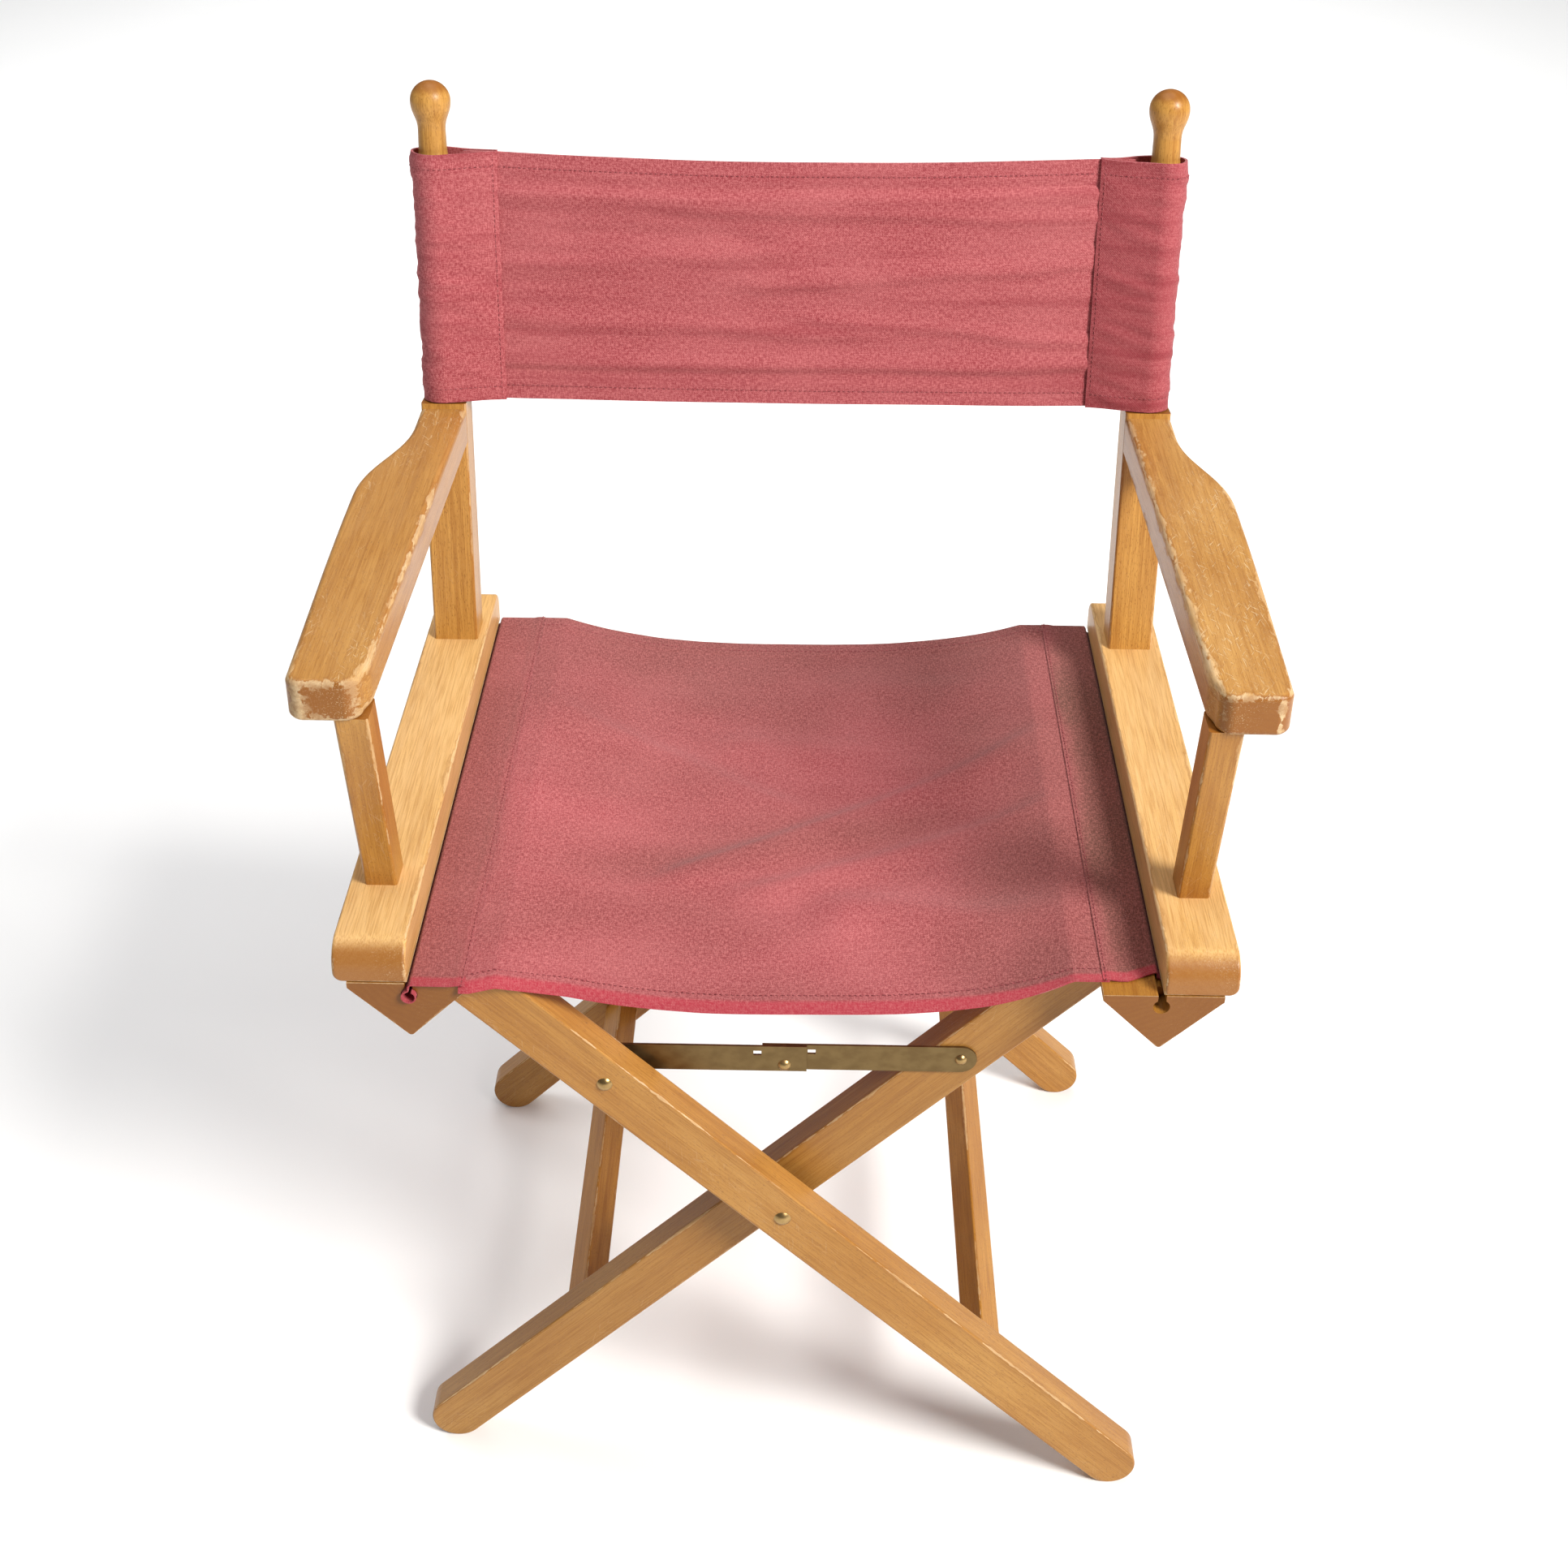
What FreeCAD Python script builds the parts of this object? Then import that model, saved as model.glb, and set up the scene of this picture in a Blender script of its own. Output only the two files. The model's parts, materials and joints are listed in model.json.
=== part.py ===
import FreeCAD, Part
import math
import os
from FreeCAD import Placement, Rotation, Vector

# Folding chair with canvas seat and back. Millimetres, +Z up, the sitter faces -Y, +X to the right.
# LEFT and RIGHT are the signs of X of the chair's two sides.
LEFT, RIGHT = -1, 1

# ---- overall sizes -------------------------------------------------------------------------
TOTAL_HEIGHT = 870.0        # floor to the top of the ball finials
SEAT_BOARD_TOP = 474.0      # floor to the top of the seat boards
HALF_WIDTH = 269.0          # middle of the chair to the outer face of a seat board
CHAIR_DEPTH = 430.0         # length of the seat boards and of the rails under them
FRONT_Y = -208.0            # front end of the seat boards, before the chair is centred

# ---- seat boards ---------------------------------------------------------------------------
BOARD_W = 44.0
BOARD_T = 25.0
BOARD_END_R = 17.0          # rounding of the top edge at the front end
BOARD_REAR_R = 11.0         # and at the rear end
BOARD_LOW_R = 6.0           # rounding of the outer lower edge
SOFT_EDGE = 2.0             # small rounding of the other long edges

# ---- V-shaped rails under the boards -------------------------------------------------------
RAIL_INSET = 8.0            # outer corner of the rail inside the outer face of the board
RAIL_W = 72.0
RAIL_DEPTH = 40.4
RAIL_EDGE = 4.0             # upright part of the rail's sides, above the V
RAIL_GAP = 0.2              # between the rail's flat top and the board, when the chair is open
RAIL_TIP_R = 2.5
KEY_INSET = 1.0             # centre of the keyhole slot inside the inner face of the board
KEY_DEPTH = 8.3             # centre of the keyhole under the rail's flat top
KEY_R = 5.0
KEY_SLOT_W = 5.0

# ---- crossed legs --------------------------------------------------------------------------
LEG_TOP_IN = 6.0            # a leg's centre line meets the rail's top that far from its inner edge
LEG_W = 35.5
LEG_T = 21.0
LEG_GAP = 8.5               # between the front faces of one frame and the back faces of the other
LEG_INSET = 9.0             # outer frame's legs behind the ends of the rails
LEG_HOUSING = 23.0          # how far a leg runs into its rail, across the chair
PIVOT_Z = 251.0
LEG_EDGE_R = 1.5
STRETCHER_SIDE = 19.0
STRETCHER_X = 137.0         # middle of a stretcher from the middle of the chair
TENON_R = 6.0
TENON_L = 12.0

# ---- pivot hardware ------------------------------------------------------------------------
RUN_CLEARANCE = 0.06        # radial, between a pin and the hole that turns on it
SIDE_CLEARANCE = 0.1        # axial, beside a part that turns
BOLT_R = 3.0
BOLT_HEAD_R = 5.5
BOLT_HEAD_H = 2.6
WASHER_R = 9.0
NUT_R = 6.5
NUT_H = 5.0

# ---- folding stay at the front -------------------------------------------------------------
STAY_X = 110.8              # end rivets from the middle of the chair
STAY_W = 20.0
STAY_T = 1.5
STAY_DROP = 5.2             # middle rivet under the straps' centre line
STAY_LAP = 14.0             # how far a strap runs past the middle rivet
STAY_LEG_CLEARANCE = 0.3
STAY_RIVET_R = 2.5
STAY_HEAD_R = 5.0
STAY_TAIL_H = 1.1
STAY_GAP = 0.4              # between the two straps, the left one in front
MIDDLE_RIVET_R = 1.9
MIDDLE_HEAD_R = 4.2
MIDDLE_HEAD_H = 2.4
RIGHT_HEAD_R = 3.8          # dome of the right strap's end rivet
RIGHT_HEAD_H = 2.2
STOP_X = 17.0               # stop window from the middle rivet
STOP_LENGTH = 5.0
STOP_HEIGHT = 3.6

# ---- butt hinges between boards and rails --------------------------------------------------
HINGE_L = 50.0
HINGE_END = 62.0            # middle of a hinge from the end of the board
HINGE_LEAF_W = 26.0
HINGE_LEAF_T = 1.2
HINGE_BARREL_R = 2.4
HINGE_PIN_R = 1.2
HINGE_OUT = 2.7             # pin outside the rail's outer corner
HINGE_KNUCKLES = 5
HINGE_SCREW_R = 1.5
HINGE_SCREW_L = 9.0
HINGE_SCREW_SPACING = 32.0
HINGE_FIT = 0.3             # between the ends of the leaves and the ends of their recess

# ---- posts ---------------------------------------------------------------------------------
BACK_POST_W = 31.5
BACK_POST_D = 28.5
BACK_POST_INSET = 5.5       # inner face of the post outside the inner face of the board
BACK_POST_FROM_FRONT = 355.0
BACK_RAKE = 7.0             # backward lean, in degrees
POST_ROUND_R = 12.5
NECK_R = 9.3
NECK_DROP = 19.0            # end of the neck under the middle of the ball
BALL_R = 13.5
TAPER_L = 22.0              # length over which the round post narrows to its neck
FRONT_POST_W = 20.0
FRONT_POST_D = 22.0
FRONT_POST_INSET = 13.9     # inner face of the post outside the inner face of the board
FRONT_POST_FROM_FRONT = 62.0
FRONT_LEAN = 15.6           # forward lean, in degrees
FRONT_SPLAY = 1.1           # lean of the top towards the sitter, in degrees

# ---- armrests ------------------------------------------------------------------------------
ARM_RISE = 175.0            # top of the armrests above the seat boards
ARM_T = 26.5
ARM_FROM_FRONT = 17.0       # front end of the armrest behind the front of the board
ARM_REAR_W = 32.0
ARM_MAX_W = 55.5
ARM_FRONT_W = 42.0
ARM_SPLAY = 8.8             # the inner edge is that much further out at the front
ARM_CORNER_R = 9.0
ARM_EDGE_R = 4.0            # rounding of the top edge
ARM_LOW_R = 3.0             # rounding of the lower edge
ARM_SCREW_R = 2.0
ARM_SCREW_HEAD_R = 4.0
ARM_SCREW_L = 55.0

# ---- canvas --------------------------------------------------------------------------------
CANVAS_T = 1.4
CANVAS_CLEARANCE = 0.3
BACK_CANVAS_ABOVE_ARM = 3.0
BACK_CANVAS_BELOW_TOP = 46.5
SLEEVE_SEAM = 41.3          # sewn line of a sleeve from the middle of its post
SEAT_SAG = 25.0
SEAT_FRONT_INSET = 12.0
SEAT_REAR_INSET = 2.0
DOWEL_R = 3.4
DOWEL_END = 3.0             # dowel shorter than the canvas at each end

# ---- places worked out from the sizes above ------------------------------------------------
REAR_Y = FRONT_Y + CHAIR_DEPTH
BOARD_BOTTOM = SEAT_BOARD_TOP - BOARD_T
BOARD_IN = HALF_WIDTH - BOARD_W
RAIL_TOP = BOARD_BOTTOM - RAIL_GAP
RAIL_OUT = HALF_WIDTH - RAIL_INSET
RAIL_IN = RAIL_OUT - RAIL_W
RAIL_TIP_X = (RAIL_OUT + RAIL_IN) / 2
KEY_X = BOARD_IN - KEY_INSET
KEY_Z = RAIL_TOP - KEY_DEPTH
THETA = math.atan2(RAIL_TOP - PIVOT_Z, RAIL_IN + LEG_TOP_IN)
OUTER_FRONT = FRONT_Y + LEG_INSET
INNER_FRONT = OUTER_FRONT + LEG_T + LEG_GAP
OUTER_REAR = REAR_Y - LEG_INSET - LEG_T
INNER_REAR = OUTER_REAR - LEG_GAP - LEG_T
LEG_TRIM_X = RAIL_IN + LEG_HOUSING
HINGE_X = RAIL_OUT + HINGE_OUT
HINGE_Z = BOARD_BOTTOM - HINGE_BARREL_R - SIDE_CLEARANCE
STAY_Z = PIVOT_Z + STAY_X * math.tan(THETA)
STRAP_RIGHT_Y = INNER_FRONT - STAY_LEG_CLEARANCE - STAY_T
STRAP_LEFT_Y = STRAP_RIGHT_Y - STAY_T - STAY_GAP
RAKE = math.radians(BACK_RAKE)
BACK_POST_IN = BOARD_IN + BACK_POST_INSET
BACK_POST_X = BACK_POST_IN + BACK_POST_W / 2
BACK_POST_Y = FRONT_Y + BACK_POST_FROM_FRONT + BACK_POST_D / 2 / math.cos(RAKE)
FRONT_POST_IN = BOARD_IN + FRONT_POST_INSET
FRONT_POST_X = FRONT_POST_IN + FRONT_POST_W / 2
LEAN = math.radians(FRONT_LEAN)
FRONT_POST_Y = FRONT_Y + FRONT_POST_FROM_FRONT + FRONT_POST_D / 2 / math.cos(LEAN)
ARM_TOP = SEAT_BOARD_TOP + ARM_RISE
ARM_BOTTOM = ARM_TOP - ARM_T
BACK_CANVAS_BOTTOM = ARM_TOP + BACK_CANVAS_ABOVE_ARM
BACK_CANVAS_TOP = TOTAL_HEIGHT - BACK_CANVAS_BELOW_TOP
SEAM_X = BACK_POST_X - SLEEVE_SEAM

Y_AXIS = Vector(0, 1, 0)


def box(x0, x1, y0, y1, z0, z1):
    return Part.makeBox(x1 - x0, y1 - y0, z1 - z0, Vector(x0, y0, z0))


def rod(radius, start, end):
    run = end - start
    return Part.makeCylinder(radius, run.Length, start, run)


def y_rod(radius, x, z, y0, y1):
    return rod(radius, Vector(x, y0, z), Vector(x, y1, z))


def prism(points, y0, y1):
    """Solid between two Y planes from a closed outline of (x, z) points."""
    corners = [Vector(x, y0, z) for x, z in points]
    face = Part.Face(Part.makePolygon(corners + corners[:1]))
    return face.extrude(Vector(0, y1 - y0, 0))


def mirrored(shape, side):
    """The right-hand shape, or its mirror image for the left side."""
    if side == RIGHT:
        return shape
    return shape.mirror(Vector(0, 0, 0), Vector(1, 0, 0))


def softened(shape, radius, chosen):
    """Rounds the straight or curved edges for which chosen(edge) is true."""
    edges = [e for e in shape.Edges if chosen(e)]
    return shape.makeFillet(radius, edges)


def along(edge, axis):
    """True where a straight edge runs along an axis vector."""
    ends = [v.Point for v in edge.Vertexes]
    if len(ends) != 2:
        return False
    run = ends[1] - ends[0]
    return run.Length > 1e-6 and abs(run.normalize().dot(axis)) > 0.9999


def dome(radius, height, base, direction):
    """A low dome on a flat face, radius wide and height tall, turned from one arc."""
    bulge = (radius ** 2 + height ** 2) / (2 * height)
    half = math.asin(radius / bulge) / 2
    middle = Vector(bulge * math.sin(half), 0, bulge * math.cos(half) - bulge + height)
    centre, rim, top = Vector(0, 0, 0), Vector(radius, 0, 0), Vector(0, 0, height)
    edges = [Part.LineSegment(centre, rim).toShape(), Part.Arc(rim, middle, top).toShape(),
             Part.LineSegment(top, centre).toShape()]
    turned = Part.Face(Part.Wire(edges)).revolve(centre, Vector(0, 0, 1), 360)
    turned.Placement = Placement(base, Rotation(Vector(0, 0, 1), direction))
    return turned


# ---- seat boards and rails -----------------------------------------------------------------
def seat_board(side):
    board = box(BOARD_IN, HALF_WIDTH, FRONT_Y, REAR_Y, BOARD_BOTTOM, SEAT_BOARD_TOP)
    for end, radius in ((FRONT_Y, BOARD_END_R), (REAR_Y, BOARD_REAR_R)):
        board = softened(board, radius, lambda e: along(e, Vector(1, 0, 0))
                         and e.CenterOfMass.z > SEAT_BOARD_TOP - 1
                         and abs(e.CenterOfMass.y - end) < 1)
    board = softened(board, BOARD_LOW_R, lambda e: along(e, Y_AXIS)
                     and e.CenterOfMass.x > HALF_WIDTH - 1 and e.CenterOfMass.z < BOARD_BOTTOM + 1)
    board = softened(board, SOFT_EDGE, lambda e: along(e, Y_AXIS)
                     and e.CenterOfMass.z > SEAT_BOARD_TOP - 1)
    for tool in (back_tenon(), front_tenon(), hinge_screws(BOARD_BOTTOM - HINGE_LEAF_T, 1)):
        board = board.cut(tool)
    return mirrored(board, side)


def v_rail(side, legs):
    """Rail with a flat top and a V under it, a keyhole for the canvas and housings for its legs."""
    outline = [(RAIL_IN, RAIL_TOP), (RAIL_IN, RAIL_TOP - RAIL_EDGE),
               (RAIL_TIP_X, RAIL_TOP - RAIL_DEPTH),
               (RAIL_OUT, RAIL_TOP - RAIL_EDGE), (RAIL_OUT, RAIL_TOP)]
    rail = prism(outline, FRONT_Y, REAR_Y)
    rail = softened(rail, RAIL_TIP_R, lambda e: along(e, Y_AXIS)
                    and e.CenterOfMass.z < RAIL_TOP - RAIL_DEPTH + 1)
    rail = rail.cut(y_rod(KEY_R, KEY_X, KEY_Z, FRONT_Y, REAR_Y))
    half = KEY_SLOT_W / 2
    rail = rail.cut(box(KEY_X - half, KEY_X + half, FRONT_Y, REAR_Y, KEY_Z, RAIL_TOP))
    rail = rail.cut(hinge_recess())
    rail = rail.cut(hinge_screws(lower_leaf_top(), -1))
    rail = mirrored(rail, side)
    for leg in legs:
        rail = rail.cut(leg)
    return rail


# ---- crossed legs --------------------------------------------------------------------------
def on_leg(side, distance, across=0.0):
    """(x, z) on a leg that rises to one side: distance from the pivot, across its width."""
    cos, sin = math.cos(THETA), math.sin(THETA)
    return side * (distance * cos - across * sin), PIVOT_Z + distance * sin + across * cos


def leg_blank(side, y0):
    """Leg with a full-round foot, square where it runs into the rail."""
    foot = -(PIVOT_Z - LEG_W / 2) / math.sin(THETA)
    top = 1.2 * RAIL_OUT / math.cos(THETA)
    half = LEG_W / 2
    corners = [on_leg(side, foot, half), on_leg(side, top, half),
               on_leg(side, top, -half), on_leg(side, foot, -half)]
    points = [Vector(x, y0, z) for x, z in corners]
    x, z = on_leg(side, foot - half)
    edges = [Part.LineSegment(points[i], points[i + 1]).toShape() for i in range(3)]
    edges.append(Part.Arc(points[3], Vector(x, y0, z), points[0]).toShape())
    leg = Part.Face(Part.Wire(edges)).extrude(Vector(0, LEG_T, 0))
    reach = abs(side * LEG_TRIM_X)
    keep = box(-2 * HALF_WIDTH, reach, y0, y0 + LEG_T, 0, RAIL_TOP)
    return leg.common(mirrored(keep, side))


def leg(side, y0, inner_y, bolt_hole_r, stay_hole_r):
    """inner_y is the face that the stretcher meets."""
    shape = leg_blank(side, y0)
    shape = softened(shape, LEG_EDGE_R, lambda e: is_long_leg_edge(e, side))
    shape = shape.cut(y_rod(bolt_hole_r, 0, PIVOT_Z, y0, y0 + LEG_T))
    shape = shape.cut(stretcher_tenon(side, inner_y))
    if stay_hole_r:
        shape = shape.cut(y_rod(stay_hole_r, side * STAY_X, STAY_Z, y0, y0 + LEG_T))
    return shape


def is_long_leg_edge(edge, side):
    x, z = on_leg(side, 1.0)
    return along(edge, Vector(x, 0, z - PIVOT_Z)) and edge.Length > LEG_W * 2


def stretcher_tenon(side, face_y):
    """Round tenon in a leg, centred on one of its faces so that it serves both directions."""
    x, z = stretcher_centre(side)
    return y_rod(TENON_R, x, z, face_y - TENON_L, face_y + TENON_L)


def stretcher_centre(side):
    return on_leg(side, -STRETCHER_X / math.cos(THETA))


def stretcher(side, y0, y1):
    """Square bar, turned with its leg, with a round tenon at each end."""
    half = STRETCHER_SIDE / 2
    distance = -STRETCHER_X / math.cos(THETA)
    corners = [on_leg(side, distance + a * half, b * half)
               for a, b in ((-1, -1), (1, -1), (1, 1), (-1, 1))]
    bar = prism(corners, y0, y1)
    bar = softened(bar, LEG_EDGE_R, lambda e: along(e, Y_AXIS))
    x, z = stretcher_centre(side)
    return bar.fuse(y_rod(TENON_R, x, z, y0 - TENON_L, y1 + TENON_L))


# ---- pivot bolts ---------------------------------------------------------------------------
def bolt_stack():
    """(outer face, inner face, direction into the chair) of the front and the rear crossing."""
    return ((OUTER_FRONT, INNER_FRONT + LEG_T, 1), (OUTER_REAR + LEG_T, INNER_REAR, -1))


def pivot_bolts():
    bolts = []
    for outer, inner, way in bolt_stack():
        head = dome(BOLT_HEAD_R, BOLT_HEAD_H, Vector(0, outer, PIVOT_Z), Vector(0, -way, 0))
        shank = rod(BOLT_R, Vector(0, outer, PIVOT_Z), Vector(0, inner + way * (NUT_H + 1), PIVOT_Z))
        bolts.append(head.fuse(shank))
    return Part.makeCompound(bolts)


def pivot_washers():
    washers = []
    for outer, inner, way in bolt_stack():
        start = outer + way * (LEG_T + SIDE_CLEARANCE)
        end = outer + way * (LEG_T + LEG_GAP - SIDE_CLEARANCE)
        a, b = Vector(0, start, PIVOT_Z), Vector(0, end, PIVOT_Z)
        washers.append(rod(WASHER_R, a, b).cut(rod(BOLT_R, a, b)))
    return Part.makeCompound(washers)


def pivot_nuts():
    nuts = []
    for outer, inner, way in bolt_stack():
        y0 = inner + way * SIDE_CLEARANCE
        y1 = y0 + way * NUT_H
        hexagon = [(NUT_R * math.cos(math.radians(60 * i)),
                    PIVOT_Z + NUT_R * math.sin(math.radians(60 * i))) for i in range(6)]
        nut = prism(hexagon, min(y0, y1), max(y0, y1))
        nuts.append(nut.cut(y_rod(BOLT_R, 0, PIVOT_Z, min(y0, y1), max(y0, y1))))
    return Part.makeCompound(nuts)


# ---- folding stay --------------------------------------------------------------------------
def stay_strap(side, y0):
    """Flat strap from its end rivet to a square end past the middle rivet."""
    half = STAY_W / 2
    end_x = -side * STAY_LAP
    bar = box(min(side * STAY_X, end_x), max(side * STAY_X, end_x),
              y0, y0 + STAY_T, STAY_Z - half, STAY_Z + half)
    strap = bar.fuse(y_rod(half, side * STAY_X, STAY_Z, y0, y0 + STAY_T)).removeSplitter()
    strap = strap.cut(y_rod(STAY_RIVET_R + RUN_CLEARANCE, side * STAY_X, STAY_Z, y0, y0 + STAY_T))
    strap = strap.cut(y_rod(MIDDLE_RIVET_R, 0, STAY_Z - STAY_DROP, y0, y0 + STAY_T))
    x0 = side * STOP_X - STOP_LENGTH / 2
    z1 = STAY_Z + half - STOP_HEIGHT
    return strap.cut(box(x0, x0 + STOP_LENGTH, y0, y0 + STAY_T, z1 - STOP_HEIGHT, z1))


def stay_rivet_left():
    """Domed rivet through the outer front leg, a collar, the left strap and its flat tail."""
    x, tail = -STAY_X, STRAP_LEFT_Y + STAY_T + SIDE_CLEARANCE
    head = dome(STAY_HEAD_R, BOLT_HEAD_H, Vector(x, OUTER_FRONT, STAY_Z), Vector(0, -1, 0))
    shank = y_rod(STAY_RIVET_R, x, STAY_Z, OUTER_FRONT, tail + STAY_TAIL_H)
    collar = y_rod(STAY_HEAD_R - 0.5, x, STAY_Z, OUTER_FRONT + LEG_T, STRAP_LEFT_Y - SIDE_CLEARANCE)
    return head.fuse(shank).fuse(collar).fuse(y_rod(STAY_HEAD_R - 0.5, x, STAY_Z, tail, tail + STAY_TAIL_H))


def stay_rivet_right():
    """Domed rivet that holds the right strap on the front face of the inner front leg."""
    x, seat = STAY_X, STRAP_RIGHT_Y - SIDE_CLEARANCE
    head = dome(RIGHT_HEAD_R, RIGHT_HEAD_H, Vector(x, seat, STAY_Z), Vector(0, -1, 0))
    return head.fuse(y_rod(STAY_RIVET_R, x, STAY_Z, seat, INNER_FRONT + LEG_T))


def middle_rivet_front():
    """Head and shank in the left strap. It ends flush, which leaves the middle pivot open."""
    z = STAY_Z - STAY_DROP
    head = dome(MIDDLE_HEAD_R, MIDDLE_HEAD_H, Vector(0, STRAP_LEFT_Y, z), Vector(0, -1, 0))
    return head.fuse(y_rod(MIDDLE_RIVET_R, 0, z, STRAP_LEFT_Y, STRAP_LEFT_Y + STAY_T))


def middle_rivet_rear():
    """Tail of the middle rivet, flush in the right strap so that it passes the leg."""
    z = STAY_Z - STAY_DROP
    return y_rod(MIDDLE_RIVET_R, 0, z, STRAP_RIGHT_Y, STRAP_RIGHT_Y + STAY_T)


# ---- butt hinges ---------------------------------------------------------------------------
def hinge_middles():
    return (FRONT_Y + HINGE_END, REAR_Y - HINGE_END)


def lower_leaf_top():
    return BOARD_BOTTOM - HINGE_LEAF_T - RAIL_GAP


def hinge_recess():
    """Room in the rail's top for both leaves."""
    floor = lower_leaf_top() - HINGE_LEAF_T
    half = HINGE_L / 2 + HINGE_FIT
    inner = RAIL_OUT - HINGE_LEAF_W - HINGE_FIT
    cuts = [box(inner, RAIL_OUT + 1, y - half, y + half, floor, RAIL_TOP) for y in hinge_middles()]
    return Part.makeCompound(cuts)


def knuckle_spans(y, first):
    """Y spans of every other knuckle of one hinge, starting with number first."""
    step = HINGE_L / HINGE_KNUCKLES
    start = y - HINGE_L / 2
    return [(start + i * step + SIDE_CLEARANCE, start + (i + 1) * step - SIDE_CLEARANCE)
            for i in range(first, HINGE_KNUCKLES, 2)]


def hinge_leaves(side, first, z0, hole_r, screws):
    """Both leaves of one kind on one side: plates with their knuckles."""
    leaves = []
    for y in hinge_middles():
        leaf = box(RAIL_OUT - HINGE_LEAF_W, RAIL_OUT, y - HINGE_L / 2, y + HINGE_L / 2,
                   z0, z0 + HINGE_LEAF_T)
        for y0, y1 in knuckle_spans(y, first):
            tab = box(RAIL_OUT - 1, HINGE_X, y0, y1, z0, z0 + HINGE_LEAF_T)
            leaf = leaf.fuse(tab).fuse(y_rod(HINGE_BARREL_R, HINGE_X, HINGE_Z, y0, y1))
            leaf = leaf.cut(y_rod(hole_r, HINGE_X, HINGE_Z, y0, y1))
        leaves.append(leaf.cut(screws))
    return mirrored(Part.makeCompound(leaves), side)


def hinge_screws(head_z, way):
    """Countersunk screws from the flush face at head_z into the wood, way +1 up or -1 down."""
    screws = []
    for y in hinge_middles():
        for offset in (-HINGE_SCREW_SPACING / 2, HINGE_SCREW_SPACING / 2):
            base = Vector(RAIL_OUT - HINGE_LEAF_W / 2, y + offset, head_z)
            up = Vector(0, 0, way)
            head = Part.makeCone(HINGE_SCREW_R * 1.8, HINGE_SCREW_R, HINGE_LEAF_T, base, up)
            shank = Part.makeCylinder(HINGE_SCREW_R, HINGE_SCREW_L, base, up)
            screws.append(head.fuse(shank))
    return Part.makeCompound(screws)


def hinge_pins(side):
    pins = [y_rod(HINGE_PIN_R, HINGE_X, HINGE_Z, y - HINGE_L / 2, y + HINGE_L / 2)
            for y in hinge_middles()]
    return mirrored(Part.makeCompound(pins), side)


# ---- posts and armrests --------------------------------------------------------------------
def placed_on_post(shape):
    """From the back post's own upright frame, with z = 0 at the board's top, to its raked place."""
    turn = Rotation(Vector(1, 0, 0), -BACK_RAKE)
    shape = shape.copy()
    shape.Placement = Placement(Vector(BACK_POST_X, BACK_POST_Y, SEAT_BOARD_TOP), turn)
    return shape


def up_post(z):
    """Height z above the floor as a length along the raked post."""
    return (z - SEAT_BOARD_TOP) / math.cos(RAKE)


def back_tenon():
    return placed_on_post(rod(TENON_R, Vector(0, 0, -TENON_L), Vector(0, 0, TENON_L)))


def turned_top():
    """Round upper part of the back post with a neck and an egg-shaped ball, turned."""
    start = up_post(BACK_CANVAS_BOTTOM) - 1
    neck = up_post(BACK_CANVAS_TOP)
    ball = (TOTAL_HEIGHT - BALL_R - SEAT_BOARD_TOP) / math.cos(RAKE)
    p = [Vector(0, 0, start), Vector(POST_ROUND_R, 0, start),
         Vector(POST_ROUND_R, 0, neck - TAPER_L), Vector(NECK_R + 0.3, 0, neck),
         Vector(NECK_R, 0, ball - NECK_DROP)]
    swell = Part.BezierCurve()
    swell.setPoles([p[4], Vector(NECK_R, 0, ball - 0.55 * NECK_DROP),
                    Vector(BALL_R, 0, ball - 0.45 * NECK_DROP), Vector(BALL_R, 0, ball)])
    side, top = Vector(BALL_R, 0, ball), Vector(0, 0, ball + BALL_R)
    shoulder = Vector(BALL_R * math.sqrt(0.5), 0, ball + BALL_R * math.sqrt(0.5))
    edges = [Part.LineSegment(p[i], p[i + 1]).toShape() for i in range(4)]
    edges += [swell.toShape(), Part.Arc(side, shoulder, top).toShape()]
    edges.append(Part.LineSegment(top, p[0]).toShape())
    face = Part.Face(Part.Wire(edges))
    return face.revolve(Vector(0, 0, 0), Vector(0, 0, 1), 360)


def back_post(side):
    half_w, half_d = BACK_POST_W / 2, BACK_POST_D / 2
    top = up_post(BACK_CANVAS_BOTTOM) - 1
    square = box(-half_w, half_w, -half_d, half_d, -BACK_POST_D, top)
    square = softened(square, SOFT_EDGE, lambda e: along(e, Vector(0, 0, 1)))
    post = placed_on_post(square.fuse(turned_top()))
    post = post.cut(box(-HALF_WIDTH, 2 * HALF_WIDTH, FRONT_Y, 2 * REAR_Y, 0, SEAT_BOARD_TOP))
    post = post.fuse(back_tenon()).cut(arm_screw())
    return mirrored(post, side)


def placed_on_front_post(shape):
    turn = Rotation(Vector(0, 1, 0), -FRONT_SPLAY) * Rotation(Vector(1, 0, 0), FRONT_LEAN)
    shape = shape.copy()
    shape.Placement = Placement(Vector(FRONT_POST_X, FRONT_POST_Y, SEAT_BOARD_TOP), turn)
    return shape


def front_tenon():
    """Both round tenons of the front post, as one rod through its middle."""
    top = (ARM_BOTTOM - SEAT_BOARD_TOP) / math.cos(LEAN) + TENON_L
    return placed_on_front_post(rod(TENON_R, Vector(0, 0, -TENON_L), Vector(0, 0, top)))


def front_post(side):
    half_w, half_d = FRONT_POST_W / 2, FRONT_POST_D / 2
    top = (ARM_BOTTOM - SEAT_BOARD_TOP) / math.cos(LEAN) + FRONT_POST_D
    bar = box(-half_w, half_w, -half_d, half_d, -FRONT_POST_D, top)
    bar = placed_on_front_post(softened(bar, SOFT_EDGE, lambda e: along(e, Vector(0, 0, 1))))
    between = box(0, 2 * HALF_WIDTH, 2 * FRONT_Y, REAR_Y, SEAT_BOARD_TOP, ARM_BOTTOM)
    return mirrored(bar.common(between).fuse(front_tenon()), side)


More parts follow.
